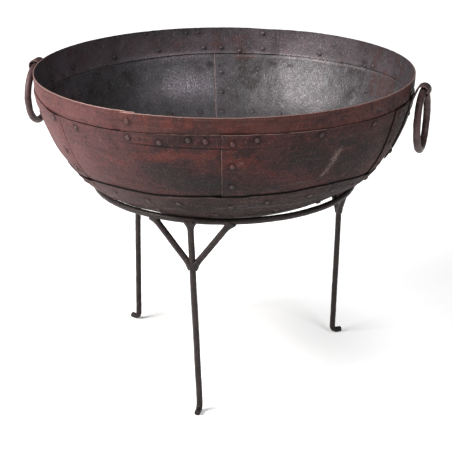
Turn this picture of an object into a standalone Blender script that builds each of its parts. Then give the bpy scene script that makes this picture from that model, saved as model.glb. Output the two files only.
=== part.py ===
"""Riveted iron fire bowl with two drop-ring handles, on a loose three-legged ring stand.

Metres, +Z up. The origin is on the floor under the bowl's axis. An azimuth is in degrees
about +Z: 0 points along -Y and positive turns towards +X.

The bowl is sheet iron. Six wall plates lap over one another, a rim band of two strips is
riveted inside their top edge, and a round dish is riveted outside their bottom edge. Where
sheets lap, the outer one steps outwards by one layer: layer 0 is a plate lying flat, layer 1
is a plate's end over its neighbour or the dish over a plate, and layer -1 is the rim band.
"""

import math

import bmesh
import bpy
from mathutils import Vector

# Bowl: the outer face of layer 0 is a turned surface, wide at the rim and flat at the bottom
RIM_RADIUS = 0.400
RIM_Z = 0.669
BOWL_DEPTH = 0.2795
RADIUS_POWER = 3.4
DEPTH_POWER = 1.85

# Sheet iron
SHEET = 0.0020
GAP = 0.0003
LAYER_STEP = SHEET + GAP

# Heights where sheets end or fold
PLATE_TOP_Z = 0.630
BAND_BOTTOM_Z = 0.608
WALL_FOLD_Z = (0.590, 0.539)
DISH_TOP_Z = 0.498
DISH_FOLD_Z = 0.458
PLATE_BOTTOM_Z = 0.440
DISH_FLOOR_RADII = (0.240, 0.190, 0.130)

# Plate seams: (azimuth of the exposed edge, side on which the outer plate lies)
SEAMS = ((-122.0, 1), (-53.5, -1), (-0.8, 1), (57.2, 1), (117.9, 1), (177.9, 1))
SEAM_LAP = 5.6
SEAM_STEP_START = 6.4
SEAM_STEP_END = 9.4
DISH_STEP_START = -3.4
DISH_STEP_END = -0.6

# Rim band joints: azimuth where the outer strip begins
BAND_JOINTS = (-29.0, 164.0)
BAND_LAP = 4.5
BAND_STEP_START = -3.8
BAND_STEP_END = -0.8

# Handles, hung nearly opposite each other
HANDLE_AZIMUTHS = {"right": 72.0, "left": -104.0}
HANDLE_FACET = 2.6
STRAP_WIDTH = 0.032
STRAP_THICKNESS = 0.0032
STRAP_TAIL_Z = 0.503
STRAP_LEAVES_WALL_Z = 0.624
EYE_AXIS_RADIUS = 0.4205
EYE_Z = 0.648
EYE_RADIUS = 0.0124
EYE_END_ANGLE = -138.0
EYE_SEGMENTS = 14
HANDLE_RADIUS = 0.0605
HANDLE_WIRE_RADIUS = 0.0075

# Rivets
RIVET_SIDES = 6
RIVET_HEAD_RADIUS = 0.0055
RIVET_HEAD_HEIGHT = 0.0030
RIVET_SHOULDER_RADIUS = 0.0039
RIVET_SHOULDER_HEIGHT = 0.0022
RIVET_TAIL_RADIUS = 0.0050
RIVET_TAIL_HEIGHT = 0.0020
SHANK_RADIUS = 0.0030
HOLE_RADIUS = 0.0036
HOLE_OVERSHOOT = 0.0040
SEAM_RIVET_OFFSET = 3.0
BAND_RIVET_OFFSET = 2.2
RIM_RIVET_Z = 0.619
BAND_RIVET_Z = (0.650, 0.656)
DISH_RIVET_Z = 0.478
STRAP_RIVET_Z = (0.599, 0.517)
# Upper and lower rivet of each seam, which were set out by eye
WALL_RIVET_Z = (
    (0.560, 0.516),
    (0.549, 0.509),
    (0.571, 0.527),
    (0.556, 0.512),
    (0.562, 0.520),
    (0.563, 0.519),
)

# Stand
RING_RADIUS = 0.278
RING_Z = 0.4243
RING_BAR_RADIUS = 0.0065
RING_SEGMENTS = 72
LEG_BAR_RADIUS = 0.0065
LEG_TOP_AZIMUTHS = (-14.1, 109.5, -133.7)
LEG_FOOT_AZIMUTHS = (-11.1, 112.0, -130.7)
FOOT_RADIUS = 0.2745
FOOT_BEND = 0.012
FOOT_BEND_ANGLES = (0.0, 30.0, 60.0, 90.0)
FOOT_REACH = 0.022
FOOT_AXIS_Z = 0.006
BRACE_JOIN_Z = (0.322, 0.307, 0.322)
BRACE_SPREAD = 17.1
WELD_GAP = 0.0006

BAR_SIDES_RESOLUTION = 2
WIRE_SIDES = 10
HANDLE_SEGMENTS = 40
WIDEST_FACET = 7.0
MERGE_DISTANCE = 0.00001
DEGREE_TOLERANCE = 0.001
FULL_TURN = 360.0

# Colours and surface values
IRON_RED = ((0.16, 0.085, 0.075, 1.0), 0.72, 0.55)
IRON_BROWN = ((0.11, 0.065, 0.055, 1.0), 0.70, 0.55)
IRON_DARK = ((0.055, 0.045, 0.045, 1.0), 0.62, 0.60)
IRON_RIVET = ((0.10, 0.065, 0.060, 1.0), 0.60, 0.60)


def clear_scene():
    for item in list(bpy.data.objects):
        bpy.data.objects.remove(item, do_unlink=True)


def new_collection(name):
    collection = bpy.data.collections.new(name)
    bpy.context.scene.collection.children.link(collection)
    return collection


def new_material(name, finish):
    colour, roughness, metallic = finish
    made = bpy.data.materials.new(name)
    made.use_nodes = True
    shader = made.node_tree.nodes["Principled BSDF"]
    shader.inputs["Base Color"].default_value = colour
    shader.inputs["Roughness"].default_value = roughness
    shader.inputs["Metallic"].default_value = metallic
    return made


def place(item, collection):
    """Move an object out of whatever collection it was made in."""
    for owner in list(item.users_collection):
        owner.objects.unlink(item)
    collection.objects.link(item)


def finish_part(item, finish):
    """Put a part in the object's collection and give it a material of its own."""
    place(item, PARTS)
    item.data.materials.clear()
    item.data.materials.append(new_material(item.name + "_iron", finish))
    return item


def finish_cutter(item, collection):
    place(item, collection)
    item.hide_render = True
    item.display_type = "WIRE"
    return item


def mesh_object(name, bm, collection):
    mesh = bpy.data.meshes.new(name)
    bm.to_mesh(mesh)
    bm.free()
    item = bpy.data.objects.new(name, mesh)
    collection.objects.link(item)
    return item


def subtract(item, cutter, name):
    cut = item.modifiers.new(name, "BOOLEAN")
    cut.operation = "DIFFERENCE"
    cut.solver = "EXACT"
    cut.object = cutter


def subtract_all(item, cutters, name):
    cut = item.modifiers.new(name, "BOOLEAN")
    cut.operation = "DIFFERENCE"
    cut.solver = "EXACT"
    cut.operand_type = "COLLECTION"
    cut.collection = cutters


def solidify(item, thickness, offset):
    shell = item.modifiers.new("thickness", "SOLIDIFY")
    shell.thickness = thickness
    shell.offset = offset
    shell.use_even_offset = True


def clamp(value):
    return min(1.0, max(0.0, value))


def polar(radius, azimuth, z):
    """Point at an azimuth, which is 0 along -Y and positive towards +X."""
    turn = math.radians(azimuth)
    return Vector((radius * math.sin(turn), -radius * math.cos(turn), z))


def radius_at(z):
    drop = (RIM_Z - z) / BOWL_DEPTH
    return RIM_RADIUS * (1.0 - drop ** DEPTH_POWER) ** (1.0 / RADIUS_POWER)


def height_at(radius):
    spread = (radius / RIM_RADIUS) ** RADIUS_POWER
    return RIM_Z - BOWL_DEPTH * (1.0 - spread) ** (1.0 / DEPTH_POWER)


def profile_stations():
    """All folds of the bowl's outline from rim to floor: (radius, z, normal's radius and z parts)."""
    heights = [RIM_Z, PLATE_TOP_Z, BAND_BOTTOM_Z, *WALL_FOLD_Z, DISH_TOP_Z, DISH_FOLD_Z, PLATE_BOTTOM_Z]
    points = [(radius_at(z), z) for z in heights]
    points += [(radius, height_at(radius)) for radius in DISH_FLOOR_RADII]
    stations = []
    for index, (radius, z) in enumerate(points):
        above = points[max(index - 1, 0)]
        below = points[min(index + 1, len(points) - 1)]
        run = above[0] - below[0]
        rise = above[1] - below[1]
        length = math.hypot(run, rise)
        stations.append((radius, z, rise / length, -run / length))
    return stations


def stations_between(top_z, bottom_z):
    return [s for s in STATIONS if bottom_z - GAP <= s[1] <= top_z + GAP]


def surface_point(station, azimuth, offset):
    radius, z, out_radius, out_z = station
    return polar(radius + offset * out_radius, azimuth, z + offset * out_z)


def marked_azimuths():
    """Azimuths every sheet must fold at: laps, steps and the flats behind the handle straps."""
    marks = []
    for edge, side in SEAMS:
        for step in (DISH_STEP_START, DISH_STEP_END, 0.0, SEAM_LAP, SEAM_STEP_START, SEAM_STEP_END):
            marks.append(edge + side * step)
    for edge in BAND_JOINTS:
        for step in (BAND_STEP_START, BAND_STEP_END, 0.0, BAND_LAP):
            marks.append(edge + step)
    for azimuth in HANDLE_AZIMUTHS.values():
        marks.append(azimuth - HANDLE_FACET)
        marks.append(azimuth + HANDLE_FACET)
    return sorted(mark % FULL_TURN for mark in marks)


def azimuth_grid():
    """One turn of fold azimuths that all sheets share, so that lapped sheets stay parallel."""
    marks = marked_azimuths()
    grid = []
    for start, end in zip(marks, marks[1:] + [marks[0] + FULL_TURN]):
        pieces = max(1, math.ceil((end - start) / WIDEST_FACET))
        grid += [start + (end - start) * k / pieces for k in range(pieces)]
    return grid


def azimuths_between(start, end):
    first = start % FULL_TURN
    last = first + (end - start)
    doubled = GRID + [azimuth + FULL_TURN for azimuth in GRID]
    inside = [a for a in doubled if first - DEGREE_TOLERANCE <= a <= last + DEGREE_TOLERANCE]
    return [a - first + start for a in inside]


def sheet(name, azimuths, stations, layer_at, closed, finish):
    """A sheet on the shared grid. layer_at(azimuth, z) says how many layers out it lies."""
    bm = bmesh.new()
    rows = []
    for station in stations:
        row = []
        for azimuth in azimuths:
            offset = layer_at(azimuth, station[1]) * LAYER_STEP - SHEET
            row.append(bm.verts.new(surface_point(station, azimuth, offset)))
        rows.append(row)
    count = len(azimuths)
    for upper, lower in zip(rows, rows[1:]):
        for k in range(count if closed else count - 1):
            after = (k + 1) % count
            bm.faces.new((upper[k], lower[k], lower[after], upper[after]))
    if closed:
        bm.faces.new(list(reversed(rows[-1])))
    item = mesh_object(name, bm, PARTS)
    solidify(item, SHEET, 1.0)
    subtract_all(item, RIVET_HOLES, "rivet_holes")
    return finish_part(item, finish)


def rim_band_strip(name, start, end):
    """One strip of the rim band. Its far end steps inside the next strip."""
    step_length = BAND_STEP_END - BAND_STEP_START

    def layer_at(azimuth, _z):
        return -1.0 - clamp((azimuth - end - BAND_STEP_START) / step_length)

    azimuths = azimuths_between(start, end + BAND_LAP)
    return sheet(name, azimuths, stations_between(RIM_Z, BAND_BOTTOM_Z), layer_at, False, IRON_BROWN)


def wall_plate(name, first_seam, last_seam):
    """One wall plate. An end that lies outside its neighbour steps out by one layer."""
    start, start_side = first_seam
    end, end_side = last_seam
    start_is_outer = start_side > 0
    end_is_outer = end_side < 0
    low = start if start_is_outer else start - SEAM_LAP
    high = end if end_is_outer else end + SEAM_LAP
    step_length = SEAM_STEP_END - SEAM_STEP_START

    def layer_at(azimuth, _z):
        layer = 0.0
        if start_is_outer:
            layer = max(layer, clamp((start + SEAM_STEP_END - azimuth) / step_length))
        if end_is_outer:
            layer = max(layer, clamp((azimuth - end + SEAM_STEP_END) / step_length))
        return layer

    stations = stations_between(PLATE_TOP_Z, PLATE_BOTTOM_Z)
    return sheet(name, azimuths_between(low, high), stations, layer_at, False, IRON_RED)


def dish_layer(azimuth, z):
    """The dish lies over the plates, and steps out once more over each of their seams."""
    if z < PLATE_BOTTOM_Z - GAP:
        return 1.0
    layer = 1.0
    for edge, side in SEAMS:
        half_turn = FULL_TURN / 2
        past = ((azimuth - edge) * side + half_turn) % FULL_TURN - half_turn
        rise = clamp((past - DISH_STEP_START) / (DISH_STEP_END - DISH_STEP_START))
        fall = clamp((SEAM_STEP_END - past) / (SEAM_STEP_END - SEAM_STEP_START))
        layer = max(layer, 1.0 + min(rise, fall))
    return layer


def bottom_dish():
    stations = [s for s in STATIONS if s[1] <= DISH_TOP_Z + GAP]
    return sheet("bottom_dish", GRID, stations, dish_layer, True, IRON_DARK)


def facet_frame(low_azimuth, high_azimuth, azimuth, z):
    """Point and outward normal on the flat of the bowl between two fold azimuths."""
    for above, below in zip(STATIONS, STATIONS[1:]):
        if below[1] <= z <= above[1]:
            break
    down = (above[1] - z) / (above[1] - below[1])
    across = (azimuth - low_azimuth) / (high_azimuth - low_azimuth)
    left = surface_point(above, low_azimuth, 0.0).lerp(surface_point(below, low_azimuth, 0.0), down)
    right = surface_point(above, high_azimuth, 0.0).lerp(surface_point(below, high_azimuth, 0.0), down)
    downwards = surface_point(below, low_azimuth, 0.0) - surface_point(above, low_azimuth, 0.0)
    normal = downwards.cross(right - left).normalized()
    return left.lerp(right, across), normal


def rivet(name, point, normal, inner, outer):
    """A rivet through sheets that reach from inner to outer, measured along the normal."""
    head_z = outer + GAP
    tail_z = inner - GAP
    profile = (
        (0.0, head_z + RIVET_HEAD_HEIGHT),
        (RIVET_SHOULDER_RADIUS, head_z + RIVET_SHOULDER_HEIGHT),
        (RIVET_HEAD_RADIUS, head_z),
        (SHANK_RADIUS, head_z),
        (SHANK_RADIUS, tail_z),
        (RIVET_TAIL_RADIUS, tail_z),
        (0.0, tail_z - RIVET_TAIL_HEIGHT),
    )
    bm = bmesh.new()
    points = [bm.verts.new((x, 0.0, z)) for x, z in profile]
    for upper, lower in zip(points, points[1:]):
        bm.edges.new((upper, lower))
    item = mesh_object(name, bm, PARTS)
    turn = item.modifiers.new("turn", "SCREW")
    turn.axis = "Z"
    turn.steps = RIVET_SIDES
    turn.render_steps = RIVET_SIDES
    turn.use_merge_vertices = True
    turn.merge_threshold = MERGE_DISTANCE
    aim = normal.to_track_quat("Z", "Y")
    item.location = point
    item.rotation_euler = aim.to_euler()
    finish_part(item, IRON_RIVET)

    bm = bmesh.new()
    length = outer - inner + 2.0 * HOLE_OVERSHOOT
    bmesh.ops.create_cone(
        bm, cap_ends=True, segments=RIVET_SIDES, radius1=HOLE_RADIUS, radius2=HOLE_RADIUS, depth=length
    )
    hole = mesh_object(name + "_hole", bm, RIVET_HOLES)
    hole.location = point + normal * (outer + inner) / 2.0
    hole.rotation_euler = aim.to_euler()
    finish_cutter(hole, RIVET_HOLES)


def layer_inside(layer):
    return layer * LAYER_STEP - SHEET


def layer_outside(layer):
    return layer * LAYER_STEP


def seam_rivets():
    """Each seam has one rivet through the rim band, two in the wall and one through the dish."""
    for number, ((edge, side), wall_z) in enumerate(zip(SEAMS, WALL_RIVET_Z), start=1):
        low, high = sorted((edge, edge + side * SEAM_LAP))
        azimuth = edge + side * SEAM_RIVET_OFFSET
        rows = (
            ("rim", RIM_RIVET_Z, -1, 1),
            ("upper", wall_z[0], 0, 1),
            ("lower", wall_z[1], 0, 1),
            ("dish", DISH_RIVET_Z, 0, 2),
        )
        for row, z, innermost, outermost in rows:
            point, normal = facet_frame(low, high, azimuth, z)
            rivet(
                f"seam_{number}_{row}_rivet", point, normal, layer_inside(innermost), layer_outside(outermost)
            )


def band_rivets():
    """Each joint of the rim band has one rivet in the band alone and one through a plate too."""
    for side, edge, upper_z in zip(("front", "rear"), BAND_JOINTS, BAND_RIVET_Z):
        for row, z, outermost in (("upper", upper_z, -1), ("lower", RIM_RIVET_Z, 0)):
            point, normal = facet_frame(edge, edge + BAND_LAP, edge + BAND_RIVET_OFFSET, z)
            rivet(f"band_{side}_{row}_rivet", point, normal, layer_inside(-2), layer_outside(outermost))


def interpolate(lower, upper, z):
    share = (z - lower[1]) / (upper[1] - lower[1])
    return (lower[0] + share * (upper[0] - lower[0]), z)


def strap_path():
    """Middle line of a handle strap as (distance from the bowl's axis, z), from tail to eye.

    The tail lies on the wall. Just below the plates' top edge it leaves the wall in a
    straight line that touches the eye's circle, and then runs round the eye over the top.
    """
    offset = GAP + STRAP_THICKNESS / 2.0
    flat = math.cos(math.radians(HANDLE_FACET))
    path = []
    for radius, z, out_radius, out_z in stations_between(PLATE_TOP_Z, DISH_TOP_Z):
        path.append((radius * flat + offset * out_radius, z + offset * out_z))
    path.reverse()
    path[0] = interpolate(path[0], path[1], STRAP_TAIL_Z)
    path[-1] = interpolate(path[-2], path[-1], STRAP_LEAVES_WALL_Z)
    run = EYE_AXIS_RADIUS - path[-1][0]
    rise = EYE_Z - path[-1][1]
    towards_eye = math.degrees(math.atan2(-rise, -run))
    touch = math.degrees(math.acos(EYE_RADIUS / math.hypot(run, rise)))
    start_angle = towards_eye % FULL_TURN - touch
    for k in range(EYE_SEGMENTS + 1):
        angle = math.radians(start_angle + (EYE_END_ANGLE - start_angle) * k / EYE_SEGMENTS)
        path.append((EYE_AXIS_RADIUS + EYE_RADIUS * math.cos(angle), EYE_Z + EYE_RADIUS * math.sin(angle)))
    return path


def handle_strap(side, azimuth):
    """A strip whose tail runs down the wall and whose top is curled into an eye."""
    across = polar(1.0, azimuth + 90.0, 0.0)
    bm = bmesh.new()
    rows = []
    for distance, z in strap_path():
        middle = polar(distance, azimuth, z)
        row = [bm.verts.new(middle + across * STRAP_WIDTH * share) for share in (-0.5, 0.5)]
        rows.append(row)
    for lower, upper in zip(rows, rows[1:]):
        bm.faces.new((lower[0], lower[1], upper[1], upper[0]))
    item = mesh_object(f"handle_strap_{side}", bm, PARTS)
    solidify(item, STRAP_THICKNESS, 0.0)
    subtract_all(item, RIVET_HOLES, "rivet_holes")
    finish_part(item, IRON_DARK)
    low = azimuth - HANDLE_FACET
    high = azimuth + HANDLE_FACET
    outer = GAP + STRAP_THICKNESS
    for row, z in zip(("upper", "lower"), STRAP_RIVET_Z):
        point, normal = facet_frame(low, high, azimuth, z)
        rivet(f"strap_{side}_{row}_rivet", point, normal, layer_inside(0), outer)


def ring_handle(side, azimuth):
    """A drop ring that hangs in the eye and swings about the eye's middle."""
    hinge = bpy.data.objects.new(f"ring_handle_{side}_hinge", None)
    hinge.location = polar(EYE_AXIS_RADIUS, azimuth, EYE_Z)
    hinge.rotation_euler = (0.0, 0.0, math.radians(azimuth))
    PARTS.objects.link(hinge)
    bpy.ops.mesh.primitive_torus_add(
        major_radius=HANDLE_RADIUS,
        minor_radius=HANDLE_WIRE_RADIUS,
        major_segments=HANDLE_SEGMENTS,
        minor_segments=WIRE_SIDES,
        rotation=(math.radians(90.0), 0.0, 0.0),
    )
    item = bpy.context.object
    item.name = f"ring_handle_{side}"
    item.parent = hinge
    item.location = (0.0, 0.0, -HANDLE_RADIUS)
    finish_part(item, IRON_BROWN)


def torus(name, bar_radius, collection):
    bpy.ops.mesh.primitive_torus_add(
        major_radius=RING_RADIUS,
        minor_radius=bar_radius,
        major_segments=RING_SEGMENTS,
        minor_segments=WIRE_SIDES,
        location=(0.0, 0.0, RING_Z),
    )
    item = bpy.context.object
    item.name = name
    place(item, collection)
    return item


def bar(name, points, radius, collection):
    """A round bar along a path, as a closed mesh that can be cut."""
    curve = bpy.data.curves.new(name, "CURVE")
    curve.dimensions = "3D"
    curve.bevel_depth = radius
    curve.bevel_resolution = BAR_SIDES_RESOLUTION
    curve.use_fill_caps = True
    spline = curve.splines.new("POLY")
    spline.points.add(len(points) - 1)
    for target, point in zip(spline.points, points):
        target.co = (*point, 1.0)
    source = bpy.data.objects.new(name + "_path", curve)
    collection.objects.link(source)
    evaluated = source.evaluated_get(bpy.context.evaluated_depsgraph_get())
    mesh = bpy.data.meshes.new_from_object(evaluated)
    bm = bmesh.new()
    bm.from_mesh(mesh)
    bmesh.ops.remove_doubles(bm, verts=bm.verts, dist=MERGE_DISTANCE)
    bmesh.ops.recalc_face_normals(bm, faces=bm.faces)
    bm.to_mesh(mesh)
    bm.free()
    item = bpy.data.objects.new(name, mesh)
    item.matrix_world = source.matrix_world
    collection.objects.link(item)
    bpy.data.objects.remove(source, do_unlink=True)
    return item


def leg_path(top_azimuth, foot_azimuth):
    """Straight down from the ring, then bent outwards to a short toe on the floor."""
    path = [polar(RING_RADIUS, top_azimuth, RING_Z)]
    bend_z = FOOT_AXIS_Z + FOOT_BEND
    for angle in FOOT_BEND_ANGLES:
        turn = math.radians(angle)
        reach = FOOT_BEND * (1.0 - math.cos(turn))
        path.append(polar(FOOT_RADIUS + reach, foot_azimuth, bend_z - FOOT_BEND * math.sin(turn)))
    path.append(polar(FOOT_RADIUS + FOOT_REACH, foot_azimuth, FOOT_AXIS_Z))
    return path


def floor_cutter():
    size = 1.0
    bpy.ops.mesh.primitive_cube_add(size=size, location=(0.0, 0.0, -size / 2.0))
    cutter = bpy.context.object
    cutter.name = "floor_cutter"
    return finish_cutter(cutter, CUTTERS)


def stand():
    """Ring, legs and braces. Each bar end is coped to the bar that it is welded to."""
    finish_part(torus("stand_ring", RING_BAR_RADIUS, PARTS), IRON_DARK)
    ring_room = finish_cutter(torus("ring_room", RING_BAR_RADIUS + WELD_GAP, CUTTERS), CUTTERS)
    floor = floor_cutter()
    places = zip(("front", "right", "left"), LEG_TOP_AZIMUTHS, LEG_FOOT_AZIMUTHS, BRACE_JOIN_Z)
    for side, top_azimuth, foot_azimuth, join_z in places:
        path = leg_path(top_azimuth, foot_azimuth)
        leg = bar(f"leg_{side}", path, LEG_BAR_RADIUS, PARTS)
        subtract(leg, ring_room, "cope_to_ring")
        subtract(leg, floor, "flat_sole")
        finish_part(leg, IRON_DARK)
        leg_room = bar(f"leg_{side}_room", path[:2], LEG_BAR_RADIUS + WELD_GAP, CUTTERS)
        finish_cutter(leg_room, CUTTERS)
        down = (RING_Z - join_z) / (RING_Z - path[1].z)
        join = path[0].lerp(path[1], down)
        for hand, turn in (("a", -BRACE_SPREAD), ("b", BRACE_SPREAD)):
            brace_top = polar(RING_RADIUS, top_azimuth + turn, RING_Z)
            brace = bar(f"brace_{side}_{hand}", [join, brace_top], LEG_BAR_RADIUS, PARTS)
            subtract(brace, ring_room, "cope_to_ring")
            subtract(brace, leg_room, "cope_to_leg")
            finish_part(brace, IRON_DARK)


def bowl():
    seam_rivets()
    band_rivets()
    front_joint, rear_joint = BAND_JOINTS
    rim_band_strip("rim_band_front", front_joint, rear_joint)
    rim_band_strip("rim_band_rear", rear_joint, front_joint + FULL_TURN)
    following = SEAMS[1:] + ((SEAMS[0][0] + FULL_TURN, SEAMS[0][1]),)
    for number, (first, last) in enumerate(zip(SEAMS, following), start=1):
        wall_plate(f"wall_plate_{number}", first, last)
    bottom_dish()


def handles():
    for side, azimuth in HANDLE_AZIMUTHS.items():
        handle_strap(side, azimuth)
        ring_handle(side, azimuth)


clear_scene()
PARTS = new_collection("fire_bowl")
CUTTERS = new_collection("cutters")
RIVET_HOLES = new_collection("rivet_hole_cutters")
STATIONS = profile_stations()
GRID = azimuth_grid()
bowl()
handles()
stand()
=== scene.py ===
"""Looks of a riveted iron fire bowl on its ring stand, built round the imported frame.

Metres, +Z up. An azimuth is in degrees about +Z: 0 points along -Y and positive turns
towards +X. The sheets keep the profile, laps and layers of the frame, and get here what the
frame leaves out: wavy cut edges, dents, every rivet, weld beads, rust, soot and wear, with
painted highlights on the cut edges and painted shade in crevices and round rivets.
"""

import math

import bpy
import numpy as np
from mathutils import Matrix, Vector, noise

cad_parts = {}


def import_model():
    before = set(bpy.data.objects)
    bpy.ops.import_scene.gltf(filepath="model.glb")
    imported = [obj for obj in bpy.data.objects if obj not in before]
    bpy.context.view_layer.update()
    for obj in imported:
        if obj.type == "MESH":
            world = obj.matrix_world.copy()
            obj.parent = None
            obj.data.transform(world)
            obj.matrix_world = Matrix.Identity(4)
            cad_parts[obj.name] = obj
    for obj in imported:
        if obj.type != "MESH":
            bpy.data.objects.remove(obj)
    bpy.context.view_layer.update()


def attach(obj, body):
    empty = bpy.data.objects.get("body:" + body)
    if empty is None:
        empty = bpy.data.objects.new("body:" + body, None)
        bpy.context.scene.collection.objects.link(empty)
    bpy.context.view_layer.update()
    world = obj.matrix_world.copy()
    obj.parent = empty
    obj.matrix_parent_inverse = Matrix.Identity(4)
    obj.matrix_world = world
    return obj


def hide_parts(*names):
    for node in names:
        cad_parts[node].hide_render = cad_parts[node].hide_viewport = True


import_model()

# Vector noise is seeded by the clock unless it gets a seed, and every run has to be the same
NOISE_SEED = 7
noise.seed_set(NOISE_SEED)

# Bowl profile, sheets and layers, as in the frame
RIM_RADIUS = 0.400
RIM_Z = 0.669
BOWL_DEPTH = 0.2795
RADIUS_POWER = 3.4
DEPTH_POWER = 1.85
FLOOR_RADIUS = 0.130
SHEET = 0.0020
GAP = 0.0003
LAYER_STEP = SHEET + GAP
DISH_TOP_Z = 0.498
PLATE_BOTTOM_Z = 0.440

# Plate seams: (azimuth of the exposed edge, side on which the outer plate lies)
SEAMS = ((-122.0, 1), (-53.5, -1), (-0.8, 1), (57.2, 1), (117.9, 1), (177.9, 1))
# How tight each seam is outside and inside: 1 is an open crevice, painted dark with dirt and shade; more is
# tighter, with a narrower dark line
SEAM_TIGHTNESS = (1.2, 9.0, 3.0, 0.55, 1.2, 1.2)
INSIDE_TIGHTNESS = (6.0, 1.2, 1.2, 1.2, 2.0, 5.0)
# How far each seam's edges stand up, as a share of a layer, and the degrees over which low ones are flattened
SEAM_STAND_UP = (0.2, 0.3, 1.0, 1.0, 1.0, 1.0)
SEAM_FLATTENED = 2.2
SEAM_LAP = 5.6
SEAM_STEP_START = 6.4
SEAM_STEP_END = 9.4
DISH_STEP_START = -3.4
DISH_STEP_END = -0.6
# The dish's steps over the seams die out past the plates' lower edge: how far past, and over what length
PLATES_END_BELOW = 0.012
PLATES_END_OVER = 0.010
BAND_JOINTS = (-29.0, 164.0)
BAND_LAP = 4.5
BAND_STEP_START = -3.8
BAND_STEP_END = -0.8

# Handles
HANDLE_AZIMUTHS = {"right": 72.0, "left": -104.0}
STRAP_WIDTH = 0.032
STRAP_THICKNESS = 0.0032
STRAP_TAIL_Z = 0.503
STRAP_LEAVES_WALL_Z = 0.624
STRAP_WALL_STEPS = 26
STRAP_FREE_STEPS = 7
STRAP_EYE_STEPS = 40
STRAP_CORNER = 0.0011
STRAP_CORNER_SHAPE = ((1.0, 0.0), (0.3, 0.3), (0.0, 1.0))
STRAP_CORNER_DEPTH = 0.7
STRAP_END_TAPER = (0.72, 0.90, 0.97)
STRAP_END_THICKNESS = 0.6
STRAP_WAVE = 0.035
STRAP_WAVES_PER_STEP = 0.16
EYE_AXIS_RADIUS = 0.4205
EYE_Z = 0.648
EYE_RADIUS = 0.0124
EYE_END_ANGLE = -138.0
HANDLE_RADIUS = 0.0605
HANDLE_WIRE_RADIUS = 0.0075
HANDLE_STEPS = 120
HANDLE_SIDES = 18
HANDLE_SAG = 0.012

# Rivets
RIVET_HEAD_RADIUS = 0.0055
RIVET_HEAD_HEIGHT = 0.0030
RIVET_TAIL_RADIUS = 0.0050
RIVET_TAIL_HEIGHT = 0.0020
# A hammered head is a little smaller and lower than the frame's plain one
HEAD_SPREAD = 0.90
HEAD_RISE = 0.86
# How far the painted shade round a rivet reaches past its head
RIVET_SHADE_REACH = 0.009
# A rivet head's outline as shares of (radius, height), and how far it is off round and off centre
DOME_SIDES = 16
DOME_OUTLINE = ((1.02, -0.35), (1.0, 0.10), (0.93, 0.45), (0.80, 0.74), (0.58, 0.92), (0.30, 1.0))
DOME_SIZE_SPREAD = 0.10
DOME_OFF_CENTRE = 0.22
DOME_OVAL = 0.05
DOME_LOBES = 0.03
DOME_POINTS = DOME_SIDES * len(DOME_OUTLINE)
DOME_FACES = DOME_SIDES * (len(DOME_OUTLINE) - 1) + 2
# Share of the dust round a rivet that its head keeps; the rest is left off so heads stay darker, as painted
# shade
DUST_ON_HEADS = 0.35
SEAM_RIVET_OFFSET = 3.0
BAND_RIVET_OFFSET = 2.2
RIM_RIVET_Z = 0.619
BAND_RIVET_Z = (0.650, 0.656)
DISH_RIVET_Z = 0.478
STRAP_RIVET_Z = (0.599, 0.517)
WALL_RIVET_Z = (
    (0.560, 0.516), (0.549, 0.509), (0.571, 0.527), (0.556, 0.512), (0.562, 0.520), (0.563, 0.519),
)

# Stand
RING_RADIUS = 0.278
RING_Z = 0.4243
RING_BAR_RADIUS = 0.0065
LEG_BAR_RADIUS = 0.0065
LEG_TOP_AZIMUTHS = (-14.1, 109.5, -133.7)
LEG_FOOT_AZIMUTHS = (-11.1, 112.0, -130.7)
FOOT_RADIUS = 0.2745
FOOT_BEND = 0.012
FOOT_REACH = 0.022
FOOT_AXIS_Z = 0.006
FOOT_STEPS = 8
LEG_TOP_SHARE = 0.008
BRACE_JOIN_Z = (0.322, 0.307, 0.322)
BRACE_SPREAD = 17.1
BRACE_END = 0.002
WELD_START = 0.001
WELD_LENGTH = 0.023
WELD_SIDES = 22
# How far a bead stands off the bar, in bar radii, by share of its length
WELD_PROFILE = (
    (0.0, 1.30), (0.15, 1.24), (0.30, 0.98), (0.42, 0.66), (0.54, 0.38), (0.68, 0.18), (0.84, 0.05),
    (1.0, -0.05),
)
WELD_ACROSS = 0.10
WELD_LUMPS = 0.14
WELD_LUMPS_PER_METRE = 200.0
BAR_SIDES = 16
HOOP_STEPS = 420
HOOP_SEED = 5.0
BAR_STEP = 0.004
BAR_ROUNDING = 0.0011
BAR_WOBBLES_PER_METRE = 14.0
BAR_LUMPS_PER_METRE = 90.0

# Cut edges of the sheets: heights by azimuth, joined by a smooth line
PLATE_TOP_HEIGHTS = (
    (-170, 0.630), (-120, 0.632), (-72, 0.637), (-58, 0.627), (-47, 0.626), (-34, 0.627), (-14, 0.634),
    (0, 0.637), (20, 0.634), (45, 0.632), (75, 0.631), (120, 0.629), (160, 0.632),
)
DISH_TOP_HEIGHTS = (
    (-165, 0.497), (-110, 0.494), (-76, 0.489), (-54, 0.487), (-38, 0.495), (-26, 0.493), (-14, 0.498),
    (0, 0.502), (15, 0.501), (30, 0.506), (40, 0.505), (59, 0.492), (90, 0.495), (140, 0.500),
)
BAND_BOTTOM_HEIGHTS = (
    (-165, 0.606), (-140, 0.602), (-125, 0.601), (-100, 0.604), (-60, 0.607), (0, 0.608), (60, 0.609),
    (110, 0.613), (145, 0.608), (172, 0.607),
)
# How far the rim band's top edge has been cut or worn down: (azimuth, drop)
RIM_DROPS = {
    "front": (
        (-29, 0.0024), (-22, 0.0010), (0, 0.0008), (60, 0.0004), (120, 0.0008), (150, 0.0002),
        (168.5, 0.0016),
    ),
    "rear": (
        (164, 0.0022), (172, 0.0006), (200, 0.0), (240, 0.0006), (290, 0.0004), (325, 0.0002),
        (336, 0.0002),
    ),
}

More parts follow.
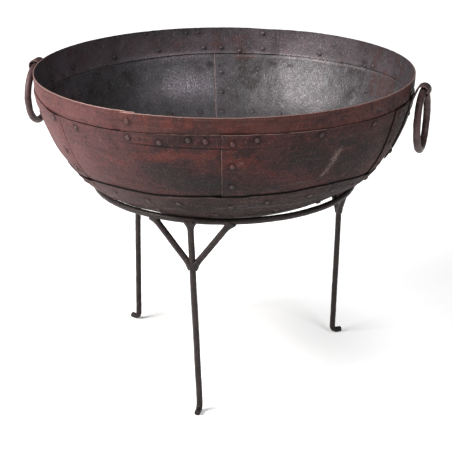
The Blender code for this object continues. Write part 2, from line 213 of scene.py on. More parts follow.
# How tight the plates' top edge lies on the band, which narrows the dark line of dirt and painted shade along
# it: (azimuth, tightness)
TOP_EDGE_TIGHTNESS = (
    (-150, 1.2), (-95, 1.0), (-89, 1.0), (-83, 5.0), (-54, 5.0), (-48, 1.5), (-33, 1.5), (-26, 5.0),
    (60, 5.0), (90, 2.0),
)
# How tight the band's lower edge lies on the plates inside, which narrows the dark line of dirt and painted
# shade along it: (azimuth, tightness)
BAND_EDGE_TIGHTNESS = ((-148, 1.0), (-138, 3.0), (-100, 3.0), (-80, 1.0), (100, 1.6), (125, 1.2), (140, 1.0))
DISH_EDGE_TIGHTNESS = 3.0
# The band's lower edge presses through the plates as a faint crease, painted as a dark line of shade: its
# height, and (azimuth, strength)
PRESSED_LINE_Z = 0.6078
PRESSED_LINE = ((-180, 0.0), (-31, 0.0), (-26, 0.8), (-19, 1.0), (-3, 1.0), (6, 0.5), (20, 0.3), (27, 0.0))
# How bright the cut edges are painted, as rubbed wear and as a painted highlight where they catch the light:
# (azimuth, share)
PLATE_WEAR_AND_HIGHLIGHT = (
    (-172, 1.0), (-165, 0.4), (-60, 0.05), (-25, 0.2), (-8, 0.7), (20, 0.9), (40, 0.5), (50, 0.1), (66, 0.0),
    (120, 0.4), (168, 0.4), (175, 1.0),
)
DISH_WEAR_AND_HIGHLIGHT = ((0, 0.05), (180, 0.2))
BAND_WEAR_AND_HIGHLIGHT = ((-115, 0.0), (-98, 0.9), (-60, 1.0), (-20, 0.9), (10, 0.9), (60, 1.0), (90, 0.9), (106, 0.0))
# Width of the cut edges' bright paint, rubbed wear and painted highlight together, and of its brightest part
WORN_AND_LIT_WIDTH = 0.0020
WORN_AND_LIT_FULL_WIDTH = 0.0002

# Rivets that the frame leaves out: (azimuth, height)
RIM_ROW = (
    (-172.9, 0.620), (-156.4, 0.620), (-139.0, 0.618), (-104.5, 0.614), (-90.0, 0.612), (-72.5, 0.602),
    (-45.9, 0.614), (-17.5, 0.616), (-9.6, 0.624), (-5.0, 0.623), (8.6, 0.625), (27.0, 0.623), (46.0, 0.622),
    (88.0, 0.617), (107.0, 0.615), (124.7, 0.616), (144.8, 0.620), (174.4, 0.612),
)
JOINT_RIVET_SIZE = 1.1
SMALL_RIVET_SIZE = 0.62
LOW_RIVET_SIZE = 1.3
SMALL_BAND_RIVETS = ((-151.9, 0.663), (-166.9, 0.657), (-171.0, 0.657), (139.5, 0.645))
DISH_ROW_UPPER = (
    -170, -157, -146, -133, -105, -90, -76, -62, -41.2, -26.8, -15.5, 14.2, 29.3, 38.9, 50.5, 72, 84, 97, 108,
    133, 145, 156, 168,
)
DISH_ROW_BELOW_EDGE = 0.019
DISH_ROW_LOWER_Z = 0.450
DISH_ROW_LOWER_WAVE = 0.003
DISH_ROW_LOWER_STEP = 22.5
DISH_ROW_LOWER_START = -3.2
LOW_RIVET_Z = 0.4375
LOW_RIVETS = (19.5, 42.5, 58.0)

# Surface relief: (height, waves per metre, seed)
RELIEF = ((0.0016, 6.0, 11.3), (0.0009, 19.0, 31.7), (0.0003, 62.0, 53.1))
RIM_RELIEF_SHARE = 0.35
RIM_RELIEF_DEPTH = 0.05
# Between the band and the dish the wall is drawn in a little: (where it starts, over what height)
DRAWN_IN = 0.0014
DRAWN_IN_BELOW = (0.611, 0.006)
DRAWN_IN_ABOVE = (0.510, 0.050)
# Near the ring the dish is smoother: (below what height, over what height)
ON_RING = (0.480, 0.035)
ON_RING_SMOOTHER = 0.7
# Knocks in the wall: (azimuth, height, radius, depth)
DENTS = (
    (-40.0, 0.560, 0.022, 0.0012), (-82.0, 0.540, 0.030, 0.0016), (21.0, 0.545, 0.026, 0.0012),
    (36.0, 0.565, 0.018, -0.0010), (-13.0, 0.530, 0.030, -0.0009), (150.0, 0.545, 0.035, 0.0014),
    (-158.0, 0.540, 0.030, -0.0014), (-132.0, 0.520, 0.028, 0.0013), (100.0, 0.560, 0.030, 0.0012),
)

# How far the dish has been knocked in above the stand's ring: (azimuth, depth)
RING_CLEARANCES = (
    (-150, 0.0008), (-110, 0.0004), (-75, -0.0016), (-64, -0.0016), (-61, -0.0004), (-53, -0.0002),
    (-49, -0.0018), (-41, -0.0014), (-38, 0.0010), (-30, 0.0010), (-25, -0.0012), (-9, -0.0018), (-4, 0.0),
    (3, 0.0), (10, 0.0004), (20, 0.0018), (42, 0.0036), (62, 0.0030), (80, 0.0010), (120, 0.0008),
)

FACE_SIZE = 0.0050
EDGE_GRADES = (0.0, 0.0011, 0.0028, 0.0055)
EDGE_BEVEL = 0.00045
SHARP_ANGLE = math.radians(50.0)
# Cut edges wander at a sheet's ends: how far in degrees, how far in from the end, waves per metre
END_WANDER = 0.28
END_WANDER_REACH = 0.012
END_WANDER_WAVES = 28.0
BLEND_TO_DISH_EDGE = 0.03
DISH_FLOOR_STEPS = 24
DISH_CENTRE = 0.012
TABLE_STEPS = 600
CENTRE_STEPS = 20
WAVY_SHIFTS = (-3.0, -1.5, 0.0, 1.5, 3.0)
# The small ripple of hand-cut edges: heights, and waves by length
CUT_RIPPLE = 0.0004
DISH_RIPPLE = 0.0003
PLATE_BOTTOM_RIPPLE = 0.0015
RIPPLE_RADIUS = 60.0
SHORT_WAVES = 0.55
LONG_WAVES = 0.3
FULL_TURN = 360.0
HALF_TURN = 180.0


# ---------------------------------------------------------------- profile and placing

def clamp(value):
    return np.clip(value, 0.0, 1.0)


def smooth(value):
    value = clamp(value)
    return value * value * (3.0 - 2.0 * value)


def polar(radius, azimuth, z):
    turn = math.radians(azimuth)
    return Vector((radius * math.sin(turn), -radius * math.cos(turn), z))


def radius_at(z):
    drop = (RIM_Z - z) / BOWL_DEPTH
    return RIM_RADIUS * (1.0 - drop ** DEPTH_POWER) ** (1.0 / RADIUS_POWER)


def height_at(radius):
    spread = (radius / RIM_RADIUS) ** RADIUS_POWER
    return RIM_Z - BOWL_DEPTH * (1.0 - spread) ** (1.0 / DEPTH_POWER)


def profile_table():
    """The outline from rim to floor centre, by arc length: arc, radius, z and outward normal."""
    heights = np.linspace(RIM_Z, PLATE_BOTTOM_Z, TABLE_STEPS)
    radii = np.linspace(radius_at(PLATE_BOTTOM_Z), FLOOR_RADIUS, TABLE_STEPS)[1:]
    radius = np.concatenate([radius_at(heights), radii, np.linspace(FLOOR_RADIUS, 0.0, CENTRE_STEPS)[1:]])
    z = np.concatenate([heights, height_at(radii), np.full(CENTRE_STEPS - 1, height_at(FLOOR_RADIUS))])
    arc = np.concatenate([[0.0], np.cumsum(np.hypot(np.diff(radius), np.diff(z)))])
    run = np.gradient(radius, arc)
    rise = np.gradient(z, arc)
    length = np.hypot(run, rise)
    return arc, radius, z, -rise / length, run / length


ARC, ARC_RADIUS, ARC_Z, ARC_OUT_R, ARC_OUT_Z = profile_table()
WALL_STEPS = 2 * TABLE_STEPS - 1


def arc_at(z):
    return np.interp(-np.asarray(z), -ARC_Z[:WALL_STEPS], ARC[:WALL_STEPS])


def wavy(pairs, azimuths):
    """A smooth closed line through (azimuth, value) pairs."""
    places = np.array([p[0] for p in pairs], float)
    values = np.array([p[1] for p in pairs], float)
    places = np.concatenate([places - FULL_TURN, places, places + FULL_TURN])
    values = np.tile(values, 3)
    around = (np.asarray(azimuths, float) + HALF_TURN) % FULL_TURN - HALF_TURN
    total = np.zeros_like(around)
    for shift in WAVY_SHIFTS:
        total += np.interp(around + shift, places, values)
    return total / len(WAVY_SHIFTS)


def ripple(azimuths, seed, waves=SHORT_WAVES):
    """Small unevenness of a hand-cut edge, between about -1 and 1."""
    flat = [noise.noise(polar(RIPPLE_RADIUS * waves, a, seed)) for a in np.ravel(azimuths)]
    return 2.0 * np.array(flat).reshape(np.shape(azimuths))


def base_points(azimuths, arcs):
    """Points and outward normals of the smooth profile."""
    turn = np.radians(azimuths)
    radius = np.interp(arcs, ARC, ARC_RADIUS)
    z = np.interp(arcs, ARC, ARC_Z)
    out_r = np.interp(arcs, ARC, ARC_OUT_R)
    out_z = np.interp(arcs, ARC, ARC_OUT_Z)
    points = np.stack([radius * np.sin(turn), -radius * np.cos(turn), z], -1)
    normals = np.stack([out_r * np.sin(turn), -out_r * np.cos(turn), out_z], -1)
    return points, normals


def azimuths_of(points):
    return np.degrees(np.arctan2(points[:, 0], -points[:, 1]))


DENT_CENTRES = [(polar(float(radius_at(z)), azimuth, z), size, depth) for azimuth, z, size, depth in DENTS]


def relief(points):
    """How far the sheets stand off the smooth profile. All layers share it, so they never cross."""
    flat = points.reshape(-1, 3)
    lift = np.zeros(len(flat))
    for height, density, seed in RELIEF:
        shift = Vector((seed, seed, seed))
        lift += height * np.array([noise.noise(Vector(p) * density + shift) for p in flat])
    for centre, size, depth in DENT_CENTRES:
        distance = np.linalg.norm(flat - np.array(centre), axis=1) / size
        lift -= depth * np.exp(-distance * distance)
    z = flat[:, 2]
    lift *= RIM_RELIEF_SHARE + (1.0 - RIM_RELIEF_SHARE) * smooth((RIM_Z - z) / RIM_RELIEF_DEPTH)
    below_band = smooth((DRAWN_IN_BELOW[0] - z) / DRAWN_IN_BELOW[1])
    drawn_in = below_band * smooth((z - DRAWN_IN_ABOVE[0]) / DRAWN_IN_ABOVE[1])
    on_ring = smooth((ON_RING[0] - z) / ON_RING[1])
    knocked_in = wavy(RING_CLEARANCES, azimuths_of(flat)) * on_ring
    lift = lift * (1.0 - ON_RING_SMOOTHER * on_ring) - DRAWN_IN * drawn_in - knocked_in
    return lift.reshape(points.shape[:-1])


def seam_past(azimuths, edge, side):
    """Degrees past a seam's exposed edge, positive on the side where the outer plate lies."""
    return ((azimuths - edge) * side + HALF_TURN) % FULL_TURN - HALF_TURN


def dish_layer(azimuths, arcs):
    """The dish lies over the plates, and steps out once more over each of their seams."""
    layer = np.ones_like(azimuths)
    for edge, side in SEAMS:
        past = seam_past(azimuths, edge, side)
        rise = smooth((past - DISH_STEP_START) / (DISH_STEP_END - DISH_STEP_START))
        fall = smooth((SEAM_STEP_END - past) / (SEAM_STEP_END - SEAM_STEP_START))
        layer = np.maximum(layer, 1.0 + np.minimum(rise, fall))
    over_plates = smooth((arc_at(PLATE_BOTTOM_Z) + PLATES_END_BELOW - arcs) / PLATES_END_OVER)
    return 1.0 + (layer - 1.0) * over_plates


# ---------------------------------------------------------------- surface values kept on points

# Patches: (azimuth, height, half width in degrees, half height, strength)
OUTSIDE_PATCHES = {
    "dust_and_sheen": (
        (-95, 0.600, 42, 0.10, 1.0), (-62, 0.560, 26, 0.09, 0.9), (-45, 0.640, 16, 0.05, 0.6),
        (-60, 0.470, 30, 0.04, 0.5), (-40, 0.600, 9, 0.05, 0.5), (-29, 0.620, 6, 0.04, 0.35),
        (178, 0.58, 50, 0.08, 0.4),
    ),
    "rust": (
        (-19, 0.583, 8, 0.014, 0.9), (-10, 0.592, 11, 0.012, 0.8), (4, 0.580, 7, 0.016, 0.9),
        (12, 0.552, 7, 0.012, 0.6), (18, 0.538, 6, 0.010, 0.45), (-24, 0.615, 9, 0.020, 0.6),
        (-35, 0.560, 6, 0.02, 0.5), (2, 0.610, 7, 0.012, 0.7), (-14, 0.655, 14, 0.014, 0.75),
        (8, 0.648, 22, 0.012, 0.6), (52, 0.655, 14, 0.010, 0.5), (-52, 0.600, 8, 0.02, 0.4),
        (120, 0.60, 30, 0.05, 0.6), (-150, 0.56, 20, 0.05, 0.6),
    ),
    "soot": (
        (-18, 0.552, 8, 0.022, 1.1), (-8, 0.530, 17, 0.024, 1.0), (2, 0.508, 17, 0.012, 0.7),
        (14, 0.515, 12, 0.012, 0.8), (180, 0.669, 72, 0.005, 1.2), (30, 0.652, 9, 0.014, 0.55),
        (52, 0.650, 15, 0.022, 0.65), (-38, 0.640, 7, 0.012, 0.35), (-24, 0.6175, 4, 0.006, 0.6),
        (24, 0.575, 10, 0.035, 0.9), (34, 0.600, 10, 0.030, 0.7), (44, 0.560, 15, 0.05, 0.7),
        (70, 0.600, 16, 0.08, 0.65),
        (-29, 0.52, 6, 0.02, 0.35), (2, 0.468, 60, 0.016, 0.6), (34, 0.490, 16, 0.014, 0.5),
        (100, 0.55, 20, 0.08, 0.5), (160, 0.52, 26, 0.04, 0.5), (-170, 0.55, 20, 0.06, 0.4),
    ),
}
# Pale rubbed marks: (azimuth, height) at both ends, half width and strength
SCUFFS = (
    (34.9, 0.586, 33.3, 0.574, 0.0032, 0.8), (33.6, 0.578, 32.8, 0.562, 0.0060, 0.75),
    (32.8, 0.560, 31.6, 0.544, 0.0040, 0.6), (31.6, 0.541, 30.2, 0.533, 0.0034, 0.7),
    (-37.2, 0.618, -36.9, 0.600, 0.0013, 0.6), (-58.0, 0.655, -57.6, 0.640, 0.0016, 0.4),
    (18.0, 0.520, 26.0, 0.523, 0.0012, 0.25), (46.0, 0.655, 51.0, 0.640, 0.0016, 0.35),
    (3.4, 0.574, 4.8, 0.578, 0.0012, 0.8), (62.0, 0.560, 64.0, 0.530, 0.0016, 0.3),
    (8.0, 0.466, 18.0, 0.468, 0.0014, 0.3),
)
INSIDE_PATCHES = {
    # Pale dust inside; the patch at -166 brightens the fill light's reflection there, a painted highlight
    "dust_and_sheen": (
        (146, 0.650, 9, 0.02, 0.6), (160, 0.640, 16, 0.03, 0.25), (-160, 0.600, 14, 0.010, 0.6),
        (-166, 0.535, 12, 0.024, 1.0),
    ),
    "rust": (
        (178, 0.650, 10, 0.02, 0.5), (112, 0.585, 11, 0.05, 0.8), (100, 0.640, 25, 0.03, 0.5),
        (175, 0.598, 8, 0.010, 0.8), (-110, 0.650, 25, 0.02, 0.3), (-172, 0.630, 14, 0.02, 0.3),
        (-108, 0.560, 14, 0.04, 0.6),
    ),
    "soot": (
        (180, 0.669, 70, 0.004, 1.0), (-120, 0.560, 22, 0.06, 0.25), (-138, 0.570, 9, 0.05, 0.5),
        (171, 0.550, 6, 0.05, 0.8), (-100, 0.600, 20, 0.06, 0.4), (163, 0.585, 10, 0.012, 0.6),
        (0, 0.50, 80, 0.09, 0.5),
        (-176, 0.580, 7, 0.014, 0.6), (132, 0.600, 6, 0.014, 0.6), (122, 0.550, 8, 0.04, 0.4),
        (126, 0.560, 3, 0.09, 0.8),
    ),
}


PATCH_KINDS = tuple(OUTSIDE_PATCHES)


def patch_values(azimuths, heights, patches):
    total = np.zeros_like(heights)
    for azimuth, height, half_width, half_height, strength in patches:
        across = seam_past(azimuths, azimuth, 1) / half_width
        up = (heights - height) / half_height
        total = np.maximum(total, strength * np.exp(-(across * across + up * up)))
    return total


def scuff_values(azimuths, heights):
    """Strength of the rubbed marks, each a soft line between two points."""
    total = np.zeros_like(heights)
    for start, start_z, end, end_z, half_width, strength in SCUFFS:
        across = degrees_to_metres(seam_past(azimuths, start, 1), heights)
        up = heights - start_z
        run = degrees_to_metres(end - start, heights)
        rise = end_z - start_z
        share = clamp((across * run + up * rise) / (run * run + rise * rise))
        distance = np.hypot(across - share * run, up - share * rise) / half_width
        total = np.maximum(total, strength * np.exp(-distance * distance))
    return total


RIVET_PLACES = []


def near_rivets(points):
    """1 at a rivet, falling to 0 about a head's width away from it."""
    flat = points.reshape(-1, 3)
    nearest = np.full(len(flat), 1.0)
    for place in RIVET_PLACES:
        nearest = np.minimum(nearest, np.linalg.norm(flat - place, axis=1))
    return (1.0 - smooth((nearest - RIVET_HEAD_RADIUS) / RIVET_SHADE_REACH)).reshape(points.shape[:-1])


def degrees_to_metres(degrees, heights):
    return np.radians(degrees) * radius_at(heights)


def rubbed_and_lit(own, azimuths, wear):
    """Distances to the cut edges, pushed out of the bright width where an edge gets neither rubbed wear nor a
    painted highlight.
    """
    return own + WORN_AND_LIT_WIDTH * (1.0 - wavy(wear, azimuths))


# ---------------------------------------------------------------- mesh building

def new_piece(name, points, faces, body, materials, replaces=()):
    mesh = bpy.data.meshes.new(name)
    mesh.from_pydata(points, [], faces)
    mesh.validate()
    mesh.shade_smooth()
    piece = bpy.data.objects.new(name, mesh)
    bpy.context.scene.collection.objects.link(piece)
    for material in materials:
        mesh.materials.append(material)
    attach(piece, body)
    for node in replaces:
        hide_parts(node)
    return piece


def bevel(piece, width, segments=2):
    rounded = piece.modifiers.new("rounded_edges", "BEVEL")
    rounded.width = width
    rounded.segments = segments
    rounded.limit_method = "ANGLE"
    rounded.angle_limit = SHARP_ANGLE
    rounded.harden_normals = False


def store(mesh, name, values):
    layer = mesh.attributes.new(name, "FLOAT", "POINT")
    layer.data.foreach_set("value", np.asarray(values, np.float32).ravel())


def graded(length):
    """Distances from 0 to length, close together near both ends."""
    inner = length - 2.0 * EDGE_GRADES[-1]
    count = max(2, int(round(inner / FACE_SIZE)))
    middle = EDGE_GRADES[-1] + inner * np.arange(1, count) / count
    ends = length - np.array(EDGE_GRADES[::-1])
    return np.concatenate([EDGE_GRADES, middle, ends])


def grid_faces(columns, rows, closed):
    """Quads of the outer and inner faces and of the cut edges of a sheet."""
    count = columns * rows
    index = np.arange(count).reshape(columns, rows)
    if closed:
        index = np.concatenate([index, index[:1]])
    here, after = index[:-1], index[1:]
    outer = np.stack([here[:, :-1], here[:, 1:], after[:, 1:], after[:, :-1]], -1).reshape(-1, 4)
    inner = outer[:, ::-1] + count
    edges = [np.stack([here[:, 0], after[:, 0], after[:, 0] + count, here[:, 0] + count], -1)]
    if not closed:
        edges.append(np.stack([here[:, -1] + count, after[:, -1] + count, after[:, -1], here[:, -1]], -1))
        first, last = index[0], index[-1]
        edges.append(np.stack([first[:-1], first[:-1] + count, first[1:] + count, first[1:]], -1))
        edges.append(np.stack([last[:-1], last[1:], last[1:] + count, last[:-1] + count], -1))
    return outer, inner, np.concatenate(edges)


def sheet(name, azimuths, arcs, layers, edge_distance, overlaps, replaces, materials, closed=False):
    """A sheet of iron on a grid of azimuths and arc lengths, with the values that its looks need.

    overlaps gives, for the outer and the inner face, the distance to the edge of any sheet
    that lies over it, where a dark line of dirt and painted shade goes.
    """
    columns, rows = azimuths.shape
    base, normals = base_points(azimuths, arcs)
    lift = relief(base)
    outer = base + normals * (layers * LAYER_STEP + lift)[..., None]
    inner = outer - normals * SHEET
    outer_faces, inner_faces, edge_faces = grid_faces(columns, rows, closed)
    points = np.concatenate([outer.reshape(-1, 3), inner.reshape(-1, 3)]).tolist()
    faces = outer_faces.tolist() + inner_faces.tolist() + edge_faces.tolist()
    extra = 0
    if closed:
        count = columns * rows
        last = np.arange(columns) * rows + rows - 1
        after = np.roll(last, -1)
        extra = 2
        points += [outer[:, -1].mean(0).tolist(), inner[:, -1].mean(0).tolist()]
        faces += [(int(a), 2 * count, int(b)) for a, b in zip(last, after)]
        faces += [(int(b) + count, 2 * count + 1, int(a) + count) for a, b in zip(last, after)]
    piece = new_piece(name, points, faces, "bowl", materials, replaces)
    mesh = piece.data
    slots = np.zeros(len(mesh.polygons), np.int32)
    slots[len(outer_faces):len(outer_faces) + len(inner_faces)] = 1
    if closed:
        slots[-columns:] = 1
    mesh.polygons.foreach_set("material_index", slots)
    heights = base[..., 2]
    none = np.zeros_like(heights)
    rivets = near_rivets(base)
    kept = {
        "scuff": (scuff_values(azimuths, heights), none, 0.0),
        "rivet": (rivets, rivets, 0.0),
        "pressed_line_shade": (wavy(PRESSED_LINE, azimuths), none, 0.0),
        "edge": (edge_distance, edge_distance, 1.0),
        "overlap": (*overlaps, 1.0),
    }
    for kind in PATCH_KINDS:
        outside = patch_values(azimuths, heights, OUTSIDE_PATCHES[kind])
        kept[kind] = (outside, patch_values(azimuths, heights, INSIDE_PATCHES[kind]), 0.0)
    for kind, (outside, inside, centre) in kept.items():
        store(mesh, kind, np.concatenate([outside.ravel(), inside.ravel(), [centre] * extra]))
    bevel(piece, EDGE_BEVEL)


def strip_grid(low, high, top_arc, bottom_arc, seed):
    """Azimuths, arcs and edge distances of a sheet with four cut edges."""
    per_degree = math.radians(1.0) * RIM_RADIUS
    along = graded((high - low) * per_degree)
    across = graded(float(np.mean(bottom_arc(np.array([low]))) - np.mean(top_arc(np.array([low])))))
    share = across / across[-1]
    columns = low + along / per_degree
    azimuths = np.repeat(columns[:, None], len(share), 1)
    top = top_arc(columns)
    bottom = bottom_arc(columns)
    arcs = top[:, None] + (bottom - top)[:, None] * share[None, :]
    near_low = np.exp(-along / END_WANDER_REACH)
    near_high = np.exp(-(along[-1] - along) / END_WANDER_REACH)
    waves = END_WANDER_WAVES * np.interp(arcs[0], ARC, ARC_Z)
    start_wave = np.array([noise.noise(Vector((seed, 0.0, place))) for place in waves])
    end_wave = np.array([noise.noise(Vector((seed, 9.0, place))) for place in waves])
    azimuths = azimuths + END_WANDER * (near_low[:, None] * start_wave + near_high[:, None] * end_wave)
    side = np.minimum(along, along[-1] - along)
    ends = np.minimum(arcs - top[:, None], bottom[:, None] - arcs)
    return azimuths, arcs, np.minimum(side[:, None], ends)


def wall_plate(number, first_seam, last_seam, materials):
    start, start_side = first_seam
    end, end_side = last_seam
    start_is_outer = start_side > 0
    end_is_outer = end_side < 0
    low = start if start_is_outer else start - SEAM_LAP
    high = end if end_is_outer else end + SEAM_LAP

    def top_arc(azimuths):
        return arc_at(wavy(PLATE_TOP_HEIGHTS, azimuths) + CUT_RIPPLE * ripple(azimuths, number, LONG_WAVES))

    def bottom_arc(azimuths):
        return arc_at(PLATE_BOTTOM_Z + PLATE_BOTTOM_RIPPLE * ripple(azimuths, number + 20.0))

    azimuths, arcs, own = strip_grid(low, high, top_arc, bottom_arc, number)
    layers = np.zeros_like(azimuths)
    step = SEAM_STEP_END - SEAM_STEP_START
    heights = np.interp(arcs, ARC, ARC_Z)
    outside = heights - wavy(DISH_TOP_HEIGHTS, azimuths)
    inside = (wavy(BAND_BOTTOM_HEIGHTS, azimuths) - heights) * wavy(BAND_EDGE_TIGHTNESS, azimuths)
    both_ends = (
        (start, start_side, start_is_outer, azimuths - start, azimuths - low, number - 1),
        (end, end_side, end_is_outer, end - azimuths, high - azimuths, number % len(SEAMS)),
    )
    for edge, side, is_outer, from_seam, from_edge, seam in both_ends:
        flat = (1.0 - SEAM_STAND_UP[seam]) * smooth((SEAM_FLATTENED - from_edge) / SEAM_FLATTENED)
        past = (azimuths - edge) * side
        if is_outer:
            layers = layers + smooth((SEAM_STEP_END - from_seam) / step) * (1.0 - flat)
            inside = np.minimum(inside, degrees_to_metres(past - SEAM_LAP, heights) * INSIDE_TIGHTNESS[seam])
        else:
            layers = layers + flat
            outside = np.minimum(outside, degrees_to_metres(-past, heights) * SEAM_TIGHTNESS[seam])
    name = f"plate_{number}_sheet"
    own = rubbed_and_lit(own, azimuths, PLATE_WEAR_AND_HIGHLIGHT)
    overlaps = (outside, inside)
    sheet(name, azimuths, arcs, layers, own, overlaps, [f"wall_plate_{number}"], materials)


def rim_band(side, start, end, materials):
    def top_arc(azimuths):
        places = np.array([p[0] for p in RIM_DROPS[side]], float)
        drops = np.array([p[1] for p in RIM_DROPS[side]])
        return np.interp(azimuths, places, drops) + CUT_RIPPLE * np.abs(ripple(azimuths, start))

    def bottom_arc(azimuths):
        wave = CUT_RIPPLE * ripple(azimuths, start + 3.0, LONG_WAVES)
        return arc_at(wavy(BAND_BOTTOM_HEIGHTS, azimuths) + wave)

    azimuths, arcs, _ = strip_grid(start, end + BAND_LAP, top_arc, bottom_arc, start)
    layers = -1.0 - smooth((azimuths - end - BAND_STEP_START) / (BAND_STEP_END - BAND_STEP_START))
    outside = np.interp(arcs, ARC, ARC_Z) - wavy(PLATE_TOP_HEIGHTS, azimuths)
    outside = outside * wavy(TOP_EDGE_TIGHTNESS, azimuths)
    overlaps = (outside, np.ones_like(outside))
    own = rubbed_and_lit(arcs - arcs[:, :1], azimuths, BAND_WEAR_AND_HIGHLIGHT)
    node = f"rim_band_{side}"
    sheet(f"band_{side}_strip", azimuths, arcs, layers, own, overlaps, [node], materials)


def bottom_dish(materials):
    columns = int(round(math.tau * radius_at(DISH_TOP_Z) / FACE_SIZE))
    turn = np.arange(columns) * FULL_TURN / columns
    top = arc_at(wavy(DISH_TOP_HEIGHTS, turn) + DISH_RIPPLE * ripple(turn, 40.0, LONG_WAVES))
    start = float(arc_at(DISH_TOP_Z))
    floor_arc = float(ARC[WALL_STEPS - 1])
    wall = start + graded(floor_arc - start)[: -len(EDGE_GRADES)]
    floor = np.linspace(wall[-1] + FACE_SIZE, ARC[-1] - DISH_CENTRE, DISH_FLOOR_STEPS)
    shared = np.concatenate([wall, floor])
    blend = clamp(1.0 - (shared - start) / BLEND_TO_DISH_EDGE)
    arcs = shared[None, :] + (top[:, None] - start) * blend[None, :]
    azimuths = np.repeat(turn[:, None], len(shared), 1)
    own = arcs - arcs[:, :1]
    layers = dish_layer(azimuths, arcs)
    overlaps = (DISH_EDGE_TIGHTNESS * own, DISH_EDGE_TIGHTNESS * own)
    own = rubbed_and_lit(own, azimuths, DISH_WEAR_AND_HIGHLIGHT)
    nodes = ["bottom_dish"]
    sheet("dish_sheet", azimuths, arcs, layers, own, overlaps, nodes, materials, closed=True)


class Builder:
    """Collects the points and faces of a piece that is made of many alike shapes."""

    def __init__(self):
        self.points = []
        self.faces = []

    def rings(self, rings, closed=False):
        """Joins rings of points, each with the same count, into a tube: closed, or with capped ends."""
        start = len(self.points)
        sides = len(rings[0])
        for ring in rings:
            self.points.extend(tuple(p) for p in ring)
        spans = len(rings) if closed else len(rings) - 1
        for k in range(spans):
            low = start + k * sides
            high = start + (k + 1) % len(rings) * sides
            for j in range(sides):
                after = (j + 1) % sides
                self.faces.append((low + j, low + after, high + after, high + j))
        if not closed:
            self.faces.append(tuple(start + j for j in reversed(range(sides))))
            last = start + (len(rings) - 1) * sides
            self.faces.append(tuple(last + j for j in range(sides)))

    def piece(self, name, body, slot, materials, replaces=()):
        return new_piece(name, self.points, self.faces, body, materials, replaces)


def frame_across(direction):
    """Two unit vectors across a direction, so that rings about it turn anticlockwise."""
    side = Vector((0.0, 0.0, 1.0)) if abs(direction.z) < 0.9 else Vector((1.0, 0.0, 0.0))
    first = side.cross(direction).normalized()
    return first, direction.cross(first).normalized()


def spokes(first, second, sides):
    """Angles and directions of even spokes in the plane of two unit vectors."""
    for j in range(sides):
        angle = math.tau * j / sides
        yield angle, first * math.cos(angle) + second * math.sin(angle)


def rivet_dome(builder, centre, normal, radius, height, seed):
    """A domed rivet head that is a little off round and off centre, sunk slightly into the sheet."""
    first, second = frame_across(normal)
    wobble = noise.noise_vector(Vector((seed * 1.7, seed * 0.9, 3.0)))
    radius = radius * (1.0 + DOME_SIZE_SPREAD * wobble.z)
    shift = (first * wobble.x + second * wobble.y) * radius * DOME_OFF_CENTRE
    rings = []
    for share, lift in DOME_OUTLINE:
        ring = []
        for angle, spread in spokes(first, second, DOME_SIDES):
            uneven = DOME_OVAL * math.cos(2.0 * angle + seed) + DOME_LOBES * math.sin(3.0 * angle + seed)
            across = radius * share * (1.0 + uneven)
            ring.append(centre + spread * across + shift * max(lift, 0.0) + normal * height * lift)
        rings.append(ring)
    builder.rings(rings)


def rivet(builder, azimuth, z, inner_layer, outer_layer, seed, size=1.0, extra=0.0):
    """Head outside and hammered tail inside, through layers from inner to outer."""
    point, normal = base_points(np.array([azimuth]), np.array([float(arc_at(z))]))
    lift = float(relief(point)[0])
    base = Vector(point[0])
    out = Vector(normal[0])
    head = base + out * (outer_layer * LAYER_STEP + lift + extra)
    tail = base + out * (inner_layer * LAYER_STEP - SHEET + lift)
    head_radius = RIVET_HEAD_RADIUS * HEAD_SPREAD * size
    rivet_dome(builder, head, out, head_radius, RIVET_HEAD_HEIGHT * HEAD_RISE * size, seed)
    rivet_dome(builder, tail, -out, RIVET_TAIL_RADIUS * size, RIVET_TAIL_HEIGHT * size, seed + 50.0)
    RIVET_PLACES.append(point[0])


def on_dish(azimuth, z, seed):
    """A rivet through the plates and the dish."""
    layer = float(dish_layer(np.array([float(azimuth)]), arc_at([z]))[0])
    return azimuth, z, 0, layer, seed


